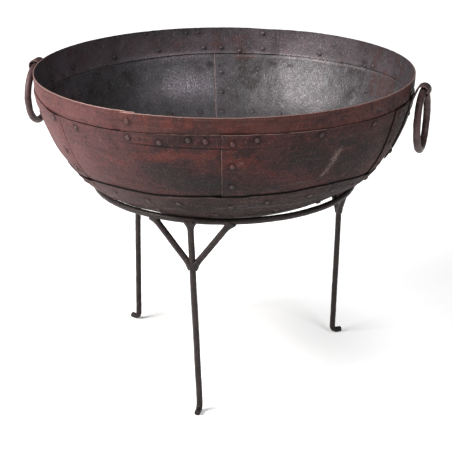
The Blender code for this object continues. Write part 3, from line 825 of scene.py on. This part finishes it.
def all_rivets(materials):
    for number, ((edge, side), wall_z) in enumerate(zip(SEAMS, WALL_RIVET_Z), start=1):
        azimuth = edge + side * SEAM_RIVET_OFFSET
        rows = ((RIM_RIVET_Z, -1, 1), (wall_z[0], 0, 1), (wall_z[1], 0, 1), (DISH_RIVET_Z, 0, 2))
        rivets = [(azimuth, *row, number * 7.0 + place) for place, row in enumerate(rows)]
        nodes = [f"seam_{number}_{row}_rivet" for row in ("rim", "upper", "lower", "dish")]
        add_rivets(f"seam_{number}_rivets", rivets, materials, nodes)
    for side, edge, upper_z in zip(("front", "rear"), BAND_JOINTS, BAND_RIVET_Z):
        azimuth = edge + BAND_RIVET_OFFSET
        rivets = (
            (azimuth, upper_z, -2, -1, edge, JOINT_RIVET_SIZE),
            (azimuth, RIM_RIVET_Z, -2, 0, edge + 1.0),
        )
        nodes = [f"band_{side}_{row}_rivet" for row in ("upper", "lower")]
        add_rivets(f"band_{side}_joint_rivets", rivets, materials, nodes)
    for side, azimuth in HANDLE_AZIMUTHS.items():
        stand_off = GAP + STRAP_THICKNESS
        rivets = [(azimuth, z, 0, 0, azimuth + row, 1.0, stand_off) for row, z in enumerate(STRAP_RIVET_Z)]
        nodes = [f"strap_{side}_{row}_rivet" for row in ("upper", "lower")]
        add_rivets(f"strap_{side}_rivets", rivets, materials, nodes)
    rivets = [(*spot, -1, 0, 100.0 + place) for place, spot in enumerate(RIM_ROW)]
    for place, spot in enumerate(SMALL_BAND_RIVETS):
        rivets.append((*spot, -1, -1, 130.0 + place, SMALL_RIVET_SIZE))
    add_rivets("rim_row_rivets", rivets, materials)
    rivets = []
    for place, azimuth in enumerate(DISH_ROW_UPPER):
        height = float(wavy(DISH_TOP_HEIGHTS, [azimuth])[0]) - DISH_ROW_BELOW_EDGE
        rivets.append(on_dish(azimuth, height, 150.0 + place))
    add_rivets("dish_upper_row_rivets", rivets, materials)
    rivets = [(azimuth, LOW_RIVET_Z, 0, 1, 170.0 + k, LOW_RIVET_SIZE) for k, azimuth in enumerate(LOW_RIVETS)]
    for place in range(int(FULL_TURN / DISH_ROW_LOWER_STEP)):
        azimuth = DISH_ROW_LOWER_START + place * DISH_ROW_LOWER_STEP
        height = DISH_ROW_LOWER_Z + DISH_ROW_LOWER_WAVE * math.sin(place * 2.1)
        rivets.append(on_dish(azimuth, height, 190.0 + place))
    add_rivets("dish_lower_row_rivets", rivets, materials)


def add_rivets(name, rivets, materials, nodes=()):
    """Heads get the first material and tails the second, with the patches of the sheet around them."""
    builder = Builder()
    for values in rivets:
        rivet(builder, *values)
    piece = builder.piece(name, "bowl", "rivet_iron", materials, nodes)
    points = np.array(builder.points, float)
    azimuths = azimuths_of(points)
    tails = np.arange(len(points)) // DOME_POINTS % 2 == 1
    for kind in PATCH_KINDS:
        kept = DUST_ON_HEADS if kind == "dust_and_sheen" else 1.0
        outside = patch_values(azimuths, points[:, 2], OUTSIDE_PATCHES[kind]) * kept
        inside = patch_values(azimuths, points[:, 2], INSIDE_PATCHES[kind])
        store(piece.data, kind, np.where(tails, inside, outside))
    for kind, value in (("scuff", 0.0), ("rivet", 0.0), ("edge", 1.0), ("overlap", 1.0)):
        store(piece.data, kind, np.full(len(points), value))
    face_is_tail = np.arange(len(builder.faces)) // DOME_FACES % 2
    piece.data.polygons.foreach_set("material_index", face_is_tail.astype(np.int32))


def bar_rings(path, radius, sides, seed, closed=False, wobble=0.0006, rough=0.05):
    """Rings of points round a path, slightly uneven as a forged or rolled bar is."""
    rings = []
    count = len(path)
    first = None
    for k, point in enumerate(path):
        before = path[(k - 1) % count] if closed or k > 0 else path[k]
        after = path[(k + 1) % count] if closed or k < count - 1 else path[k]
        direction = (after - before).normalized()
        if first is None:
            first, _ = frame_across(direction)
        first = (first - direction * first.dot(direction)).normalized()
        second = direction.cross(first)
        shift = noise.noise_vector(point * BAR_WOBBLES_PER_METRE + Vector((seed, seed, seed))) * wobble
        ring = []
        for _, spread in spokes(first, second, sides):
            place = point + spread * radius
            uneven = 1.0 + rough * noise.noise(place * BAR_LUMPS_PER_METRE + Vector((seed, 0.0, 0.0)))
            ring.append(point + shift + spread * radius * uneven)
        rings.append(ring)
    return rings


def dense(points):
    """Points along straight runs between the given points."""
    path = []
    for start, end in zip(points, points[1:]):
        pieces = max(1, round((end - start).length / BAR_STEP))
        path += [start.lerp(end, k / pieces) for k in range(pieces)]
    return path + [points[-1]]


def ring_handle(side, azimuth, material):
    centre = polar(EYE_AXIS_RADIUS, azimuth, EYE_Z - HANDLE_RADIUS)
    across = polar(1.0, azimuth + 90.0, 0.0)
    path = []
    for k in range(HANDLE_STEPS):
        angle = math.tau * k / HANDLE_STEPS
        low = 0.5 - 0.5 * math.cos(angle)
        radius = HANDLE_RADIUS * (1.0 + HANDLE_SAG * low * math.sin(2.0 * angle + azimuth))
        path.append(centre + across * radius * math.sin(angle) + Vector((0.0, 0.0, radius * math.cos(angle))))
    builder = Builder()
    rings = bar_rings(path, HANDLE_WIRE_RADIUS, HANDLE_SIDES, azimuth, closed=True, wobble=0.0005, rough=0.07)
    builder.rings(rings, closed=True)
    builder.piece(f"handle_{side}_ring", f"handle_{side}", "handle_iron", [material], [f"ring_handle_{side}"])


def strap_centre_line(azimuth):
    """Middle line of a strap as (distance from the axis, z): up the wall, off it, and round the eye."""
    offset = GAP + STRAP_THICKNESS / 2.0
    heights = np.linspace(STRAP_TAIL_Z, STRAP_LEAVES_WALL_Z, STRAP_WALL_STEPS)
    points, normals = base_points(np.full(STRAP_WALL_STEPS, azimuth), arc_at(heights))
    lifts = relief(points)
    path = []
    for point, normal, lift in zip(points, normals, lifts):
        place = point + normal * (offset + lift)
        path.append((math.hypot(place[0], place[1]), place[2]))
    run = EYE_AXIS_RADIUS - path[-1][0]
    rise = EYE_Z - path[-1][1]
    towards_eye = math.degrees(math.atan2(-rise, -run))
    touch = math.degrees(math.acos(EYE_RADIUS / math.hypot(run, rise)))
    start_angle = towards_eye % FULL_TURN - touch
    turns = np.radians(np.linspace(start_angle, EYE_END_ANGLE, STRAP_EYE_STEPS))
    eye = [(EYE_AXIS_RADIUS + EYE_RADIUS * math.cos(a), EYE_Z + EYE_RADIUS * math.sin(a)) for a in turns]
    last = path[-1]
    for k in range(1, STRAP_FREE_STEPS):
        share = k / STRAP_FREE_STEPS
        path.append((last[0] + (eye[0][0] - last[0]) * share, last[1] + (eye[0][1] - last[1]) * share))
    return path + eye


def handle_strap(side, azimuth, material):
    """A strip whose tail runs down the wall and whose top is curled into an eye."""
    line = strap_centre_line(azimuth)
    across = polar(1.0, azimuth + 90.0, 0.0)
    rings = []
    count = len(line)
    for k, (distance, z) in enumerate(line):
        before = line[max(k - 1, 0)]
        after = line[min(k + 1, count - 1)]
        run = after[0] - before[0]
        rise = after[1] - before[1]
        length = math.hypot(run, rise)
        out = polar(rise / length, azimuth, -run / length)
        from_end = min(k, count - 1 - k)
        taper = STRAP_END_TAPER[from_end] if from_end < len(STRAP_END_TAPER) else 1.0
        wave = STRAP_WAVE * noise.noise(Vector((azimuth, k * STRAP_WAVES_PER_STEP, 0.0)))
        half_width = STRAP_WIDTH / 2.0 * taper * (1.0 + wave)
        half_thickness = STRAP_THICKNESS / 2.0 * (1.0 if from_end else STRAP_END_THICKNESS)
        middle = polar(distance, azimuth, z)
        ring = []
        for sign_w, sign_t in ((1, 1), (-1, 1), (-1, -1), (1, -1)):
            shape = STRAP_CORNER_SHAPE if sign_w != sign_t else STRAP_CORNER_SHAPE[::-1]
            for inset_w, inset_t in shape:
                wide = sign_w * (half_width - inset_w * STRAP_CORNER)
                thick = sign_t * (half_thickness - inset_t * STRAP_CORNER * STRAP_CORNER_DEPTH)
                ring.append(middle + across * wide + out * thick)
        rings.append(ring)
    builder = Builder()
    builder.rings(rings)
    piece = builder.piece(f"strap_{side}_strip", "bowl", "strap_iron", [material], [f"handle_strap_{side}"])
    piece.data.set_sharp_from_angle(angle=SHARP_ANGLE)


def weld_bead(builder, corner, direction, along, seed):
    """A lumpy fillet round a bar that leaves a corner, widening into the bar that runs along there."""
    first, second = frame_across(direction)
    start = corner + direction * WELD_START
    length = WELD_LENGTH - WELD_START
    rings = []
    for share, grow in WELD_PROFILE:
        ring = []
        for _, spread in spokes(first, second, WELD_SIDES):
            towards = abs(spread.dot(along))
            place = start + direction * length * share + spread * LEG_BAR_RADIUS
            lump = noise.noise(place * WELD_LUMPS_PER_METRE + Vector((seed, seed, 0.0)))
            flare = WELD_ACROSS + (1.0 - WELD_ACROSS) * towards * towards
            swell = grow * flare + WELD_LUMPS * lump * (1.0 - share)
            ring.append(place + spread * LEG_BAR_RADIUS * swell)
        rings.append(ring)
    builder.rings(rings)


def leg_path(top_azimuth, foot_azimuth):
    """Straight down from inside the ring's bar, then bent outwards to a short toe on the floor."""
    bend_z = FOOT_AXIS_Z + FOOT_BEND
    top = polar(RING_RADIUS, top_azimuth, RING_Z)
    knee = polar(FOOT_RADIUS, foot_azimuth, bend_z)
    path = [top.lerp(knee, LEG_TOP_SHARE), knee]
    for k in range(1, FOOT_STEPS + 1):
        turn = math.radians(90.0 * k / FOOT_STEPS)
        reach = FOOT_BEND * (1.0 - math.cos(turn))
        path.append(polar(FOOT_RADIUS + reach, foot_azimuth, bend_z - FOOT_BEND * math.sin(turn)))
    path.append(polar(FOOT_RADIUS + FOOT_REACH, foot_azimuth, FOOT_AXIS_Z))
    return path


def stand_bar(node, path, seed, material):
    rings = bar_rings(dense(path), LEG_BAR_RADIUS, BAR_SIDES, seed)
    builder = Builder()
    builder.rings([[Vector((p.x, p.y, max(p.z, 0.0))) for p in ring] for ring in rings])
    piece = builder.piece(node + "_bar", "stand", "stand_iron", [material], [node])
    bevel(piece, BAR_ROUNDING, 3)


def stand(material, weld_material):
    hoop = [polar(RING_RADIUS, FULL_TURN * k / HOOP_STEPS, RING_Z) for k in range(HOOP_STEPS)]
    builder = Builder()
    rings = bar_rings(hoop, RING_BAR_RADIUS, BAR_SIDES, HOOP_SEED, closed=True, wobble=0.0004)
    builder.rings(rings, closed=True)
    builder.piece("stand_hoop", "stand", "stand_iron", [material], ["stand_ring"])
    places = zip(("front", "right", "left"), LEG_TOP_AZIMUTHS, LEG_FOOT_AZIMUTHS, BRACE_JOIN_Z)
    for number, (side, top_azimuth, foot_azimuth, join_z) in enumerate(places):
        path = leg_path(top_azimuth, foot_azimuth)
        stand_bar(f"leg_{side}", path, number, material)
        top = polar(RING_RADIUS, top_azimuth, RING_Z)
        knee = path[1]
        down = (knee - top).normalized()
        join = top.lerp(knee, (RING_Z - join_z) / (RING_Z - knee.z))
        builder = Builder()
        weld_bead(builder, top, down, polar(1.0, top_azimuth + 90.0, 0.0), number)
        for hand, turn in (("a", -BRACE_SPREAD), ("b", BRACE_SPREAD)):
            brace_top = polar(RING_RADIUS, top_azimuth + turn, RING_Z)
            along = (brace_top - join).normalized()
            seed = number * 2.0 + turn
            brace = [join + along * BRACE_END, brace_top - along * BRACE_END]
            stand_bar(f"brace_{side}_{hand}", brace, seed, material)
            weld_bead(builder, join, along, down, seed)
            weld_bead(builder, brace_top, -along, polar(1.0, top_azimuth + turn + 90.0, 0.0), seed + 9.0)
        builder.piece(f"weld_beads_{side}", "stand", "stand_iron", [weld_material])


# ---------------------------------------------------------------- materials

def paint(red, green, blue):
    """A colour as displayed, 0 to 255, turned into the linear values that shaders use."""
    linear = []
    for channel in (red, green, blue):
        share = channel / 255.0
        linear.append(share / 12.92 if share <= 0.04045 else ((share + 0.055) / 1.055) ** 2.4)
    return (*linear, 1.0)


# The Mix node's sockets share their names, so they are found by number: both inputs and the output
MIX_SOCKETS = {"FLOAT": (2, 3, 0), "RGBA": (6, 7, 2)}


class Surface:
    """A material and short calls for the nodes it is made of. Patterns are in metres on the piece."""

    def __init__(self, name):
        self.material = bpy.data.materials.new(name)
        self.material.use_nodes = True
        self.nodes = self.material.node_tree.nodes
        self.links = self.material.node_tree.links
        self.shader = self.nodes["Principled BSDF"]
        self.place = self.node("TexCoord").outputs["Object"]

    def join(self, source, socket):
        if isinstance(source, (int, float, tuple)):
            socket.default_value = source
        else:
            self.links.new(source, socket)

    def node(self, kind, **sockets):
        """A new node, with the sockets of these names set or linked."""
        node = self.nodes.new("ShaderNode" + kind)
        for name, source in sockets.items():
            self.join(source, node.inputs[name.replace("_", " ")])
        return node

    def noise(self, scale, detail=3.0, roughness=0.55, stretch=None, twist=0.0):
        place = self.place
        if stretch:
            place = self.node("Mapping", Vector=place, Scale=stretch).outputs["Vector"]
        form = {"Scale": scale, "Detail": detail, "Roughness": roughness, "Distortion": twist}
        return self.node("TexNoise", Vector=place, **form).outputs["Fac"]

    def cells(self, scale):
        return self.node("TexVoronoi", Vector=self.place, Scale=scale).outputs["Distance"]

    def value(self, name):
        node = self.node("Attribute")
        node.attribute_name = name
        return node.outputs["Fac"]

    def ramp(self, source, low, high, out_low=0.0, out_high=1.0):
        limits = {"From_Min": low, "From_Max": high, "To_Min": out_low, "To_Max": out_high}
        node = self.node("MapRange", Value=source, **limits)
        node.interpolation_type = "SMOOTHSTEP"
        return node.outputs["Result"]

    def maths(self, operation, first, second=0.5, clamped=True):
        node = self.node("Math")
        node.operation = operation
        node.use_clamp = clamped
        self.join(first, node.inputs[0])
        self.join(second, node.inputs[1])
        return node.outputs["Value"]

    def times(self, *factors):
        result = factors[0]
        for factor in factors[1:]:
            result = self.maths("MULTIPLY", result, factor)
        return result

    def height(self):
        return self.node("SeparateXYZ", Vector=self.place).outputs["Z"]

    def patches(self, name, islands, low, high):
        """A painted patch broken up into islands."""
        return self.ramp(self.maths("ADD", self.value(name), islands), low, high)

    def blend(self, factor, first, second, kind="FLOAT"):
        node = self.node("Mix")
        node.data_type = kind
        first_socket, second_socket, result = MIX_SOCKETS[kind]
        self.join(factor, node.inputs[0])
        self.join(first, node.inputs[first_socket])
        self.join(second, node.inputs[second_socket])
        return node.outputs[result]

    def coats(self, colour, *coats):
        """A colour under coats of (how much, tone), one over the other."""
        colour = paint(*colour)
        for how_much, tone in coats:
            colour = self.blend(how_much, colour, paint(*tone), "RGBA")
        return colour

    def bumps(self, *layers):
        """Bump layers of (height, strength, distance), one over the other."""
        below = {}
        for height, strength, distance in layers:
            node = self.node("Bump", Height=height, Strength=strength, Distance=distance, **below)
            below = {"Normal": node.outputs["Normal"]}
        self.join(below["Normal"], self.shader.inputs["Normal"])

    def finish(self, colour, roughness, metallic, specular):
        names = ("Base Color", "Roughness", "Metallic", "Specular IOR Level")
        for name, source in zip(names, (colour, roughness, metallic, specular)):
            self.join(source, self.shader.inputs[name])
        return self.material


def outside_iron(name, ground, shade, tint, streak, red_share, edge_wear_and_highlight, wear_and_highlight_from, brushed, specular=0.07):
    """Rusted outer face of the sheets: brown ground, red rust, soot, pale dust, scratches, worn edges
    with painted highlights, light grain partly painted as glints, and painted shade round rivets,
    in crevices and along the pressed line.
    """
    s = Surface(name)
    large = s.noise(9.0, 4.0, 0.6)
    medium = s.noise(38.0, 5.0, 0.65)
    mottle = s.noise(120.0, 4.0, 0.7)
    grain = s.noise(420.0, 3.0, 0.6)
    lines = s.noise(34.0, 4.0, 0.6, stretch=(0.45, 0.45, 6.0), twist=0.3)
    scratches = s.noise(60.0, 2.0, 0.5, stretch=(9.0, 9.0, 0.5), twist=0.2)
    islands = s.ramp(s.blend(0.5, medium, mottle), 0.36, 0.64, -0.40, 0.40)
    rust = s.patches("rust", islands, 0.28, 0.88)
    soot = s.patches("soot", islands, 0.32, 0.74)
    dust_and_sheen = s.times(s.value("dust_and_sheen"), s.ramp(mottle, 0.26, 0.62))
    specks = s.times(s.ramp(s.cells(150.0), 0.13, 0.07), s.ramp(medium, 0.48, 0.60))
    # Painted shade: a dark ring round each rivet head
    rivet_shade_ring = s.times(s.value("rivet"), s.ramp(mottle, 0.30, 0.60))
    scuff = s.times(s.value("scuff"), s.ramp(mottle, 0.36, 0.54), s.ramp(grain, 0.34, 0.56))
    # Cut edges painted bright: rubbed wear, and a painted highlight where an edge catches the light
    rubbed_and_lit_edge = s.ramp(s.value("edge"), WORN_AND_LIT_WIDTH, WORN_AND_LIT_FULL_WIDTH)
    worn_and_lit = s.times(rubbed_and_lit_edge, s.ramp(medium, wear_and_highlight_from, wear_and_highlight_from + 0.20))
    # Painted shade along the crease that the band's lower edge presses into the plates
    from_line = s.maths("ABSOLUTE", s.maths("SUBTRACT", s.height(), PRESSED_LINE_Z, clamped=False))
    pressed_line_shade = s.times(s.value("pressed_line_shade"), s.ramp(from_line, 0.0024, 0.0008), s.ramp(mottle, 0.26, 0.46))
    # Dark line beside the edge of an overlapping sheet: dirt, and painted shade where the step shades it
    crevice_dirt_and_shade = s.times(s.ramp(s.value("overlap"), 0.0040, 0.0010), s.ramp(medium, 0.30, 0.46, 0.70, 0.92))
    colour = s.coats(
        ground,
        (s.ramp(large, 0.38, 0.64), shade),
        (s.times(s.ramp(medium, 0.46, 0.66), red_share), tint),
        (s.times(rust, 0.80), (80, 41, 37)),
        (s.times(rust, s.ramp(mottle, 0.54, 0.70), 0.30), (104, 62, 48)),
        (s.times(soot, 0.88), (34, 32, 33)),
        (s.times(dust_and_sheen, 0.84), (114, 76, 78)),
        (s.times(s.ramp(lines, 0.50, 0.70), brushed), shade),
        (s.times(s.ramp(lines, 0.46, 0.30), brushed, 0.6), streak),
        (s.times(s.ramp(mottle, 0.50, 0.68), 0.55), shade),
        # Light grain specks, partly painted glints
        (s.times(s.ramp(grain, 0.56, 0.70), 0.42), (104, 80, 77)),
        (s.times(s.ramp(scratches, 0.66, 0.74), s.ramp(grain, 0.40, 0.56), 0.4), (116, 92, 88)),
        (s.times(specks, 0.6), (140, 120, 116)),
        (s.times(rivet_shade_ring, 0.72), (24, 18, 18)),
        (s.times(scuff, 0.85), (128, 114, 106)),
        (s.times(worn_and_lit, edge_wear_and_highlight), (150, 122, 116)),
        (s.times(pressed_line_shade, 0.9), (22, 16, 16)),
        (crevice_dirt_and_shade, (16, 13, 13)),
    )
    rough = s.blend(worn_and_lit, s.ramp(mottle, 0.3, 0.7, 0.54, 0.76), 0.42)
    s.bumps((medium, 0.35, 0.0030), (lines, 0.25, 0.0012), (mottle, 0.65, 0.0014), (grain, 0.55, 0.0005))
    return s.finish(colour, rough, s.blend(worn_and_lit, 0.03, 0.45), specular)


def inside_iron(name, ground, shade, tint, red_share, gloss):
    """Burnished, sooty inner face: dark, half glossy, finely pitted, with pale dust that is in one place
    a painted highlight, painted glints, worn edges with painted highlights, and painted shade round
    rivet tails and in crevices.
    """
    s = Surface(name)
    large = s.noise(8.0, 4.0, 0.6)
    medium = s.noise(34.0, 5.0, 0.65)
    mottle = s.noise(110.0, 4.0, 0.7)
    grain = s.noise(380.0, 3.0, 0.65)
    fine = s.noise(620.0, 2.0, 0.5)
    streaks = s.noise(26.0, 4.0, 0.6, stretch=(0.5, 0.5, 3.0), twist=0.5)
    scratches = s.noise(40.0, 2.0, 0.5, stretch=(9.0, 9.0, 0.6), twist=0.3)
    islands = s.ramp(medium, 0.32, 0.68, -0.38, 0.38)
    rust = s.patches("rust", islands, 0.36, 0.72)
    soot = s.patches("soot", islands, 0.34, 0.72)
    # Pale dust, and at -166 a painted highlight brightening a reflection
    dust_and_sheen = s.times(s.value("dust_and_sheen"), s.ramp(grain, 0.42, 0.62))
    # Cut edges painted bright inside: rubbed wear, and a painted highlight where an edge catches the light
    worn_and_lit = s.times(s.ramp(s.value("edge"), WORN_AND_LIT_WIDTH, WORN_AND_LIT_FULL_WIDTH), s.ramp(medium, 0.22, 0.42))
    overlap = s.value("overlap")
    light_line = s.times(s.ramp(overlap, 0.0030, 0.0052), s.ramp(overlap, 0.0100, 0.0066))
    colour = s.coats(
        ground,
        (s.ramp(large, 0.38, 0.62), shade),
        (s.times(s.ramp(medium, 0.48, 0.66), red_share), tint),
        (s.times(s.ramp(streaks, 0.50, 0.70), 0.35), shade),
        (s.times(rust, 0.6), (84, 56, 54)),
        (s.times(soot, 0.75), (42, 37, 36)),
        (s.times(dust_and_sheen, 0.7), (134, 124, 132)),
        (s.times(s.ramp(mottle, 0.56, 0.74), 0.40), (100, 94, 100)),
        # Painted glints: fine light specks that stand in for tiny reflections
        (s.times(s.ramp(grain, 0.58, 0.70), 0.45), (136, 130, 138)),
        (s.times(s.ramp(grain, 0.44, 0.34), 0.35), (34, 31, 33)),
        (s.times(s.ramp(scratches, 0.62, 0.70), s.ramp(grain, 0.40, 0.55), 0.5), (132, 122, 126)),
        # Painted shade round the rivet tails
        (s.times(s.value("rivet"), 0.35), (34, 30, 31)),
        (s.times(worn_and_lit, 0.75), (150, 124, 120)),
        (s.times(light_line, s.ramp(medium, 0.40, 0.55), 0.25), (126, 112, 112)),
        # Dark line beside an overlapping edge inside: dirt, and painted shade
        (s.times(s.ramp(overlap, 0.0034, 0.0008), 0.85), (20, 17, 18)),
    )
    rough = s.ramp(mottle, 0.3, 0.7, gloss, gloss + 0.16)
    rough = s.blend(s.times(s.ramp(fine, 0.50, 0.66), 0.7), rough, 0.20)
    rough = s.blend(soot, rough, 0.62)
    metal = s.blend(s.ramp(medium, 0.4, 0.6), 0.26, 0.46)
    pits = s.cells(330.0)
    s.bumps((medium, 0.30, 0.0040), (mottle, 0.45, 0.0012), (grain, 0.55, 0.0006), (pits, 0.20, 0.0005))
    return s.finish(colour, rough, metal, 0.34)


def bar_iron(name, ground, shade, tint, worn_tone, roughness, metallic, painted_shade_below=0.0):
    """Dark oxidised bar and strip iron, with rust in the hollows and rubbed high spots; painted shade darkens
    low parts.
    """
    s = Surface(name)
    medium = s.noise(55.0, 4.0, 0.6)
    mottle = s.noise(170.0, 4.0, 0.65)
    grain = s.noise(520.0, 3.0, 0.6)
    colour = s.coats(
        ground,
        (s.ramp(medium, 0.38, 0.62), shade),
        (s.times(s.ramp(mottle, 0.48, 0.66), 0.6), tint),
        (s.times(s.ramp(grain, 0.58, 0.74), 0.45), worn_tone),
        # Painted shade: below about 0.62 m a strap's tail lies in shadow against the wall
        (s.times(s.ramp(s.height(), 0.635, 0.605), painted_shade_below), (34, 27, 27)),
    )
    rough = s.ramp(mottle, 0.3, 0.7, roughness - 0.08, roughness + 0.10)
    s.bumps((medium, 0.30, 0.0020), (mottle, 0.45, 0.0010), (grain, 0.35, 0.0004))
    return s.finish(colour, rough, metallic, 0.25)


def floor_material():
    """A pale floor that glows a little, less around the feet and more far away."""
    s = Surface("pale_floor")
    dapple = s.noise(1.2, 2.0, 0.5)
    colour = s.coats((247, 247, 247), (s.ramp(dapple, 0.3, 0.7), (250, 250, 250)))
    centre_distance = s.node("VectorMath")
    centre_distance.operation = "LENGTH"
    s.join(s.place, centre_distance.inputs[0])
    around_feet = s.ramp(centre_distance.outputs["Value"], 0.20, 0.50, 0.14, 0.62)
    far_away = s.ramp(centre_distance.outputs["Value"], 1.0, 2.0, 0.0, 0.30)
    s.join(colour, s.shader.inputs["Emission Color"])
    s.join(s.maths("ADD", around_feet, far_away), s.shader.inputs["Emission Strength"])
    s.bumps((s.noise(300.0), 0.02, 0.0005))
    return s.finish(colour, 0.85, 0.0, 0.1)


# ---------------------------------------------------------------- stage, light and camera

FLOOR_REACH = 7.0
# Lights by name: (direction, distance, size, power, colour)
LIGHTS = {
    "key_light": ((-0.78, -0.34, 0.56), 2.6, 1.4, 138.0, (1.0, 0.985, 0.97)),
    "fill_light": ((0.48, -0.62, 0.63), 2.8, 0.9, 30.5, (0.97, 0.98, 1.0)),
}
LIGHTS_AIM = Vector((0.0, 0.0, 0.5))
WORLD_STRENGTH = 0.18
SENSOR_WIDTH = 36.0
LENS = 97.9
CAMERA_PLACE = (0.0, -2.53, 1.2725)
CAMERA_TURN = (math.pi / 2.0 - 0.3638, 0.0015, -0.0018)


def floor():
    corners = [(x * FLOOR_REACH, y * FLOOR_REACH, 0.0) for x, y in ((-1, -1), (1, -1), (1, 1), (-1, 1))]
    mesh = bpy.data.meshes.new("floor")
    mesh.from_pydata(corners, [], [(0, 1, 2, 3)])
    plane = bpy.data.objects.new("floor", mesh)
    bpy.context.scene.collection.objects.link(plane)
    mesh.materials.append(floor_material())


def area_light(name, direction, distance, size, power, colour):
    """A soft square light that faces the bowl from a direction."""
    lamp = bpy.data.lights.new(name, "AREA")
    lamp.shape = "SQUARE"
    lamp.size = size
    lamp.energy = power
    lamp.color = colour
    item = bpy.data.objects.new(name, lamp)
    aim = Vector(direction).normalized()
    item.location = LIGHTS_AIM + aim * distance
    item.rotation_euler = aim.to_track_quat("Z", "Y").to_euler()
    bpy.context.scene.collection.objects.link(item)


def world():
    studio = bpy.data.worlds.new("studio")
    studio.use_nodes = True
    background = studio.node_tree.nodes["Background"]
    background.inputs["Color"].default_value = (1.0, 1.0, 1.0, 1.0)
    background.inputs["Strength"].default_value = WORLD_STRENGTH
    bpy.context.scene.world = studio


def camera():
    lens = bpy.data.cameras.new("camera")
    lens.sensor_width = SENSOR_WIDTH
    lens.lens = LENS
    item = bpy.data.objects.new("camera", lens)
    item.location = CAMERA_PLACE
    item.rotation_euler = CAMERA_TURN
    bpy.context.scene.collection.objects.link(item)
    bpy.context.scene.camera = item


# ---------------------------------------------------------------- the object

PLATE_OUTSIDE = outside_iron(
    "plate_outside", (55, 37, 36), (38, 28, 28), (68, 37, 34), (92, 64, 60),
    red_share=0.6, edge_wear_and_highlight=0.55, wear_and_highlight_from=0.34, brushed=0.30,
)
BAND_OUTSIDE = outside_iron(
    "band_outside", (70, 44, 41), (50, 34, 33), (80, 42, 36), (94, 64, 60),
    red_share=0.7, edge_wear_and_highlight=0.85, wear_and_highlight_from=0.22, brushed=0.50,
)
DISH_OUTSIDE = outside_iron(
    "dish_outside", (45, 34, 33), (30, 24, 24), (60, 41, 38), (96, 84, 81),
    red_share=0.5, edge_wear_and_highlight=0.35, wear_and_highlight_from=0.40, brushed=0.50,
)
RIVET_OUTSIDE = outside_iron(
    "rivet_heads", (58, 38, 36), (40, 29, 28), (66, 37, 34), (92, 64, 60),
    red_share=0.6, edge_wear_and_highlight=0.0, wear_and_highlight_from=0.40, brushed=0.0, specular=0.35,
)
BOWL_INSIDE = inside_iron(
    "bowl_inside", (72, 69, 72), (56, 54, 55), (78, 70, 72), red_share=0.3, gloss=0.38,
)
BAND_INSIDE = inside_iron(
    "band_inside", (80, 71, 75), (63, 57, 60), (88, 69, 69), red_share=0.6, gloss=0.44,
)
RIVET_INSIDE = inside_iron(
    "rivet_tails", (66, 60, 64), (50, 46, 49), (74, 58, 58), red_share=0.6, gloss=0.40,
)
STRAP_IRON = bar_iron(
    "strap_face", (80, 60, 60), (60, 47, 48), (86, 58, 53), (122, 102, 100),
    roughness=0.55, metallic=0.25, painted_shade_below=0.75,
)
HANDLE_IRON = bar_iron(
    "handle_bar", (74, 55, 56), (52, 40, 41), (80, 53, 50), (116, 96, 96),
    roughness=0.50, metallic=0.22,
)
STAND_IRON = bar_iron(
    "stand_bar", (42, 34, 34), (29, 25, 25), (54, 38, 35), (90, 76, 74),
    roughness=0.48, metallic=0.30,
)
WELD_IRON = bar_iron(
    "weld_bead", (43, 36, 37), (31, 27, 28), (54, 39, 35), (82, 72, 72),
    roughness=0.48, metallic=0.35,
)

all_rivets([RIVET_OUTSIDE, RIVET_INSIDE])
rim_band("front", BAND_JOINTS[0], BAND_JOINTS[1], [BAND_OUTSIDE, BAND_INSIDE])
rim_band("rear", BAND_JOINTS[1], BAND_JOINTS[0] + FULL_TURN, [BAND_OUTSIDE, BAND_INSIDE])
following = SEAMS[1:] + ((SEAMS[0][0] + FULL_TURN, SEAMS[0][1]),)
for number, (first, last) in enumerate(zip(SEAMS, following), start=1):
    wall_plate(number, first, last, [PLATE_OUTSIDE, BOWL_INSIDE])
bottom_dish([DISH_OUTSIDE, BOWL_INSIDE])
for side, azimuth in HANDLE_AZIMUTHS.items():
    handle_strap(side, azimuth, STRAP_IRON)
    ring_handle(side, azimuth, HANDLE_IRON)
stand(STAND_IRON, WELD_IRON)

floor()
for name, values in LIGHTS.items():
    area_light(name, *values)
world()
camera()
bpy.context.scene.view_settings.view_transform = "Standard"
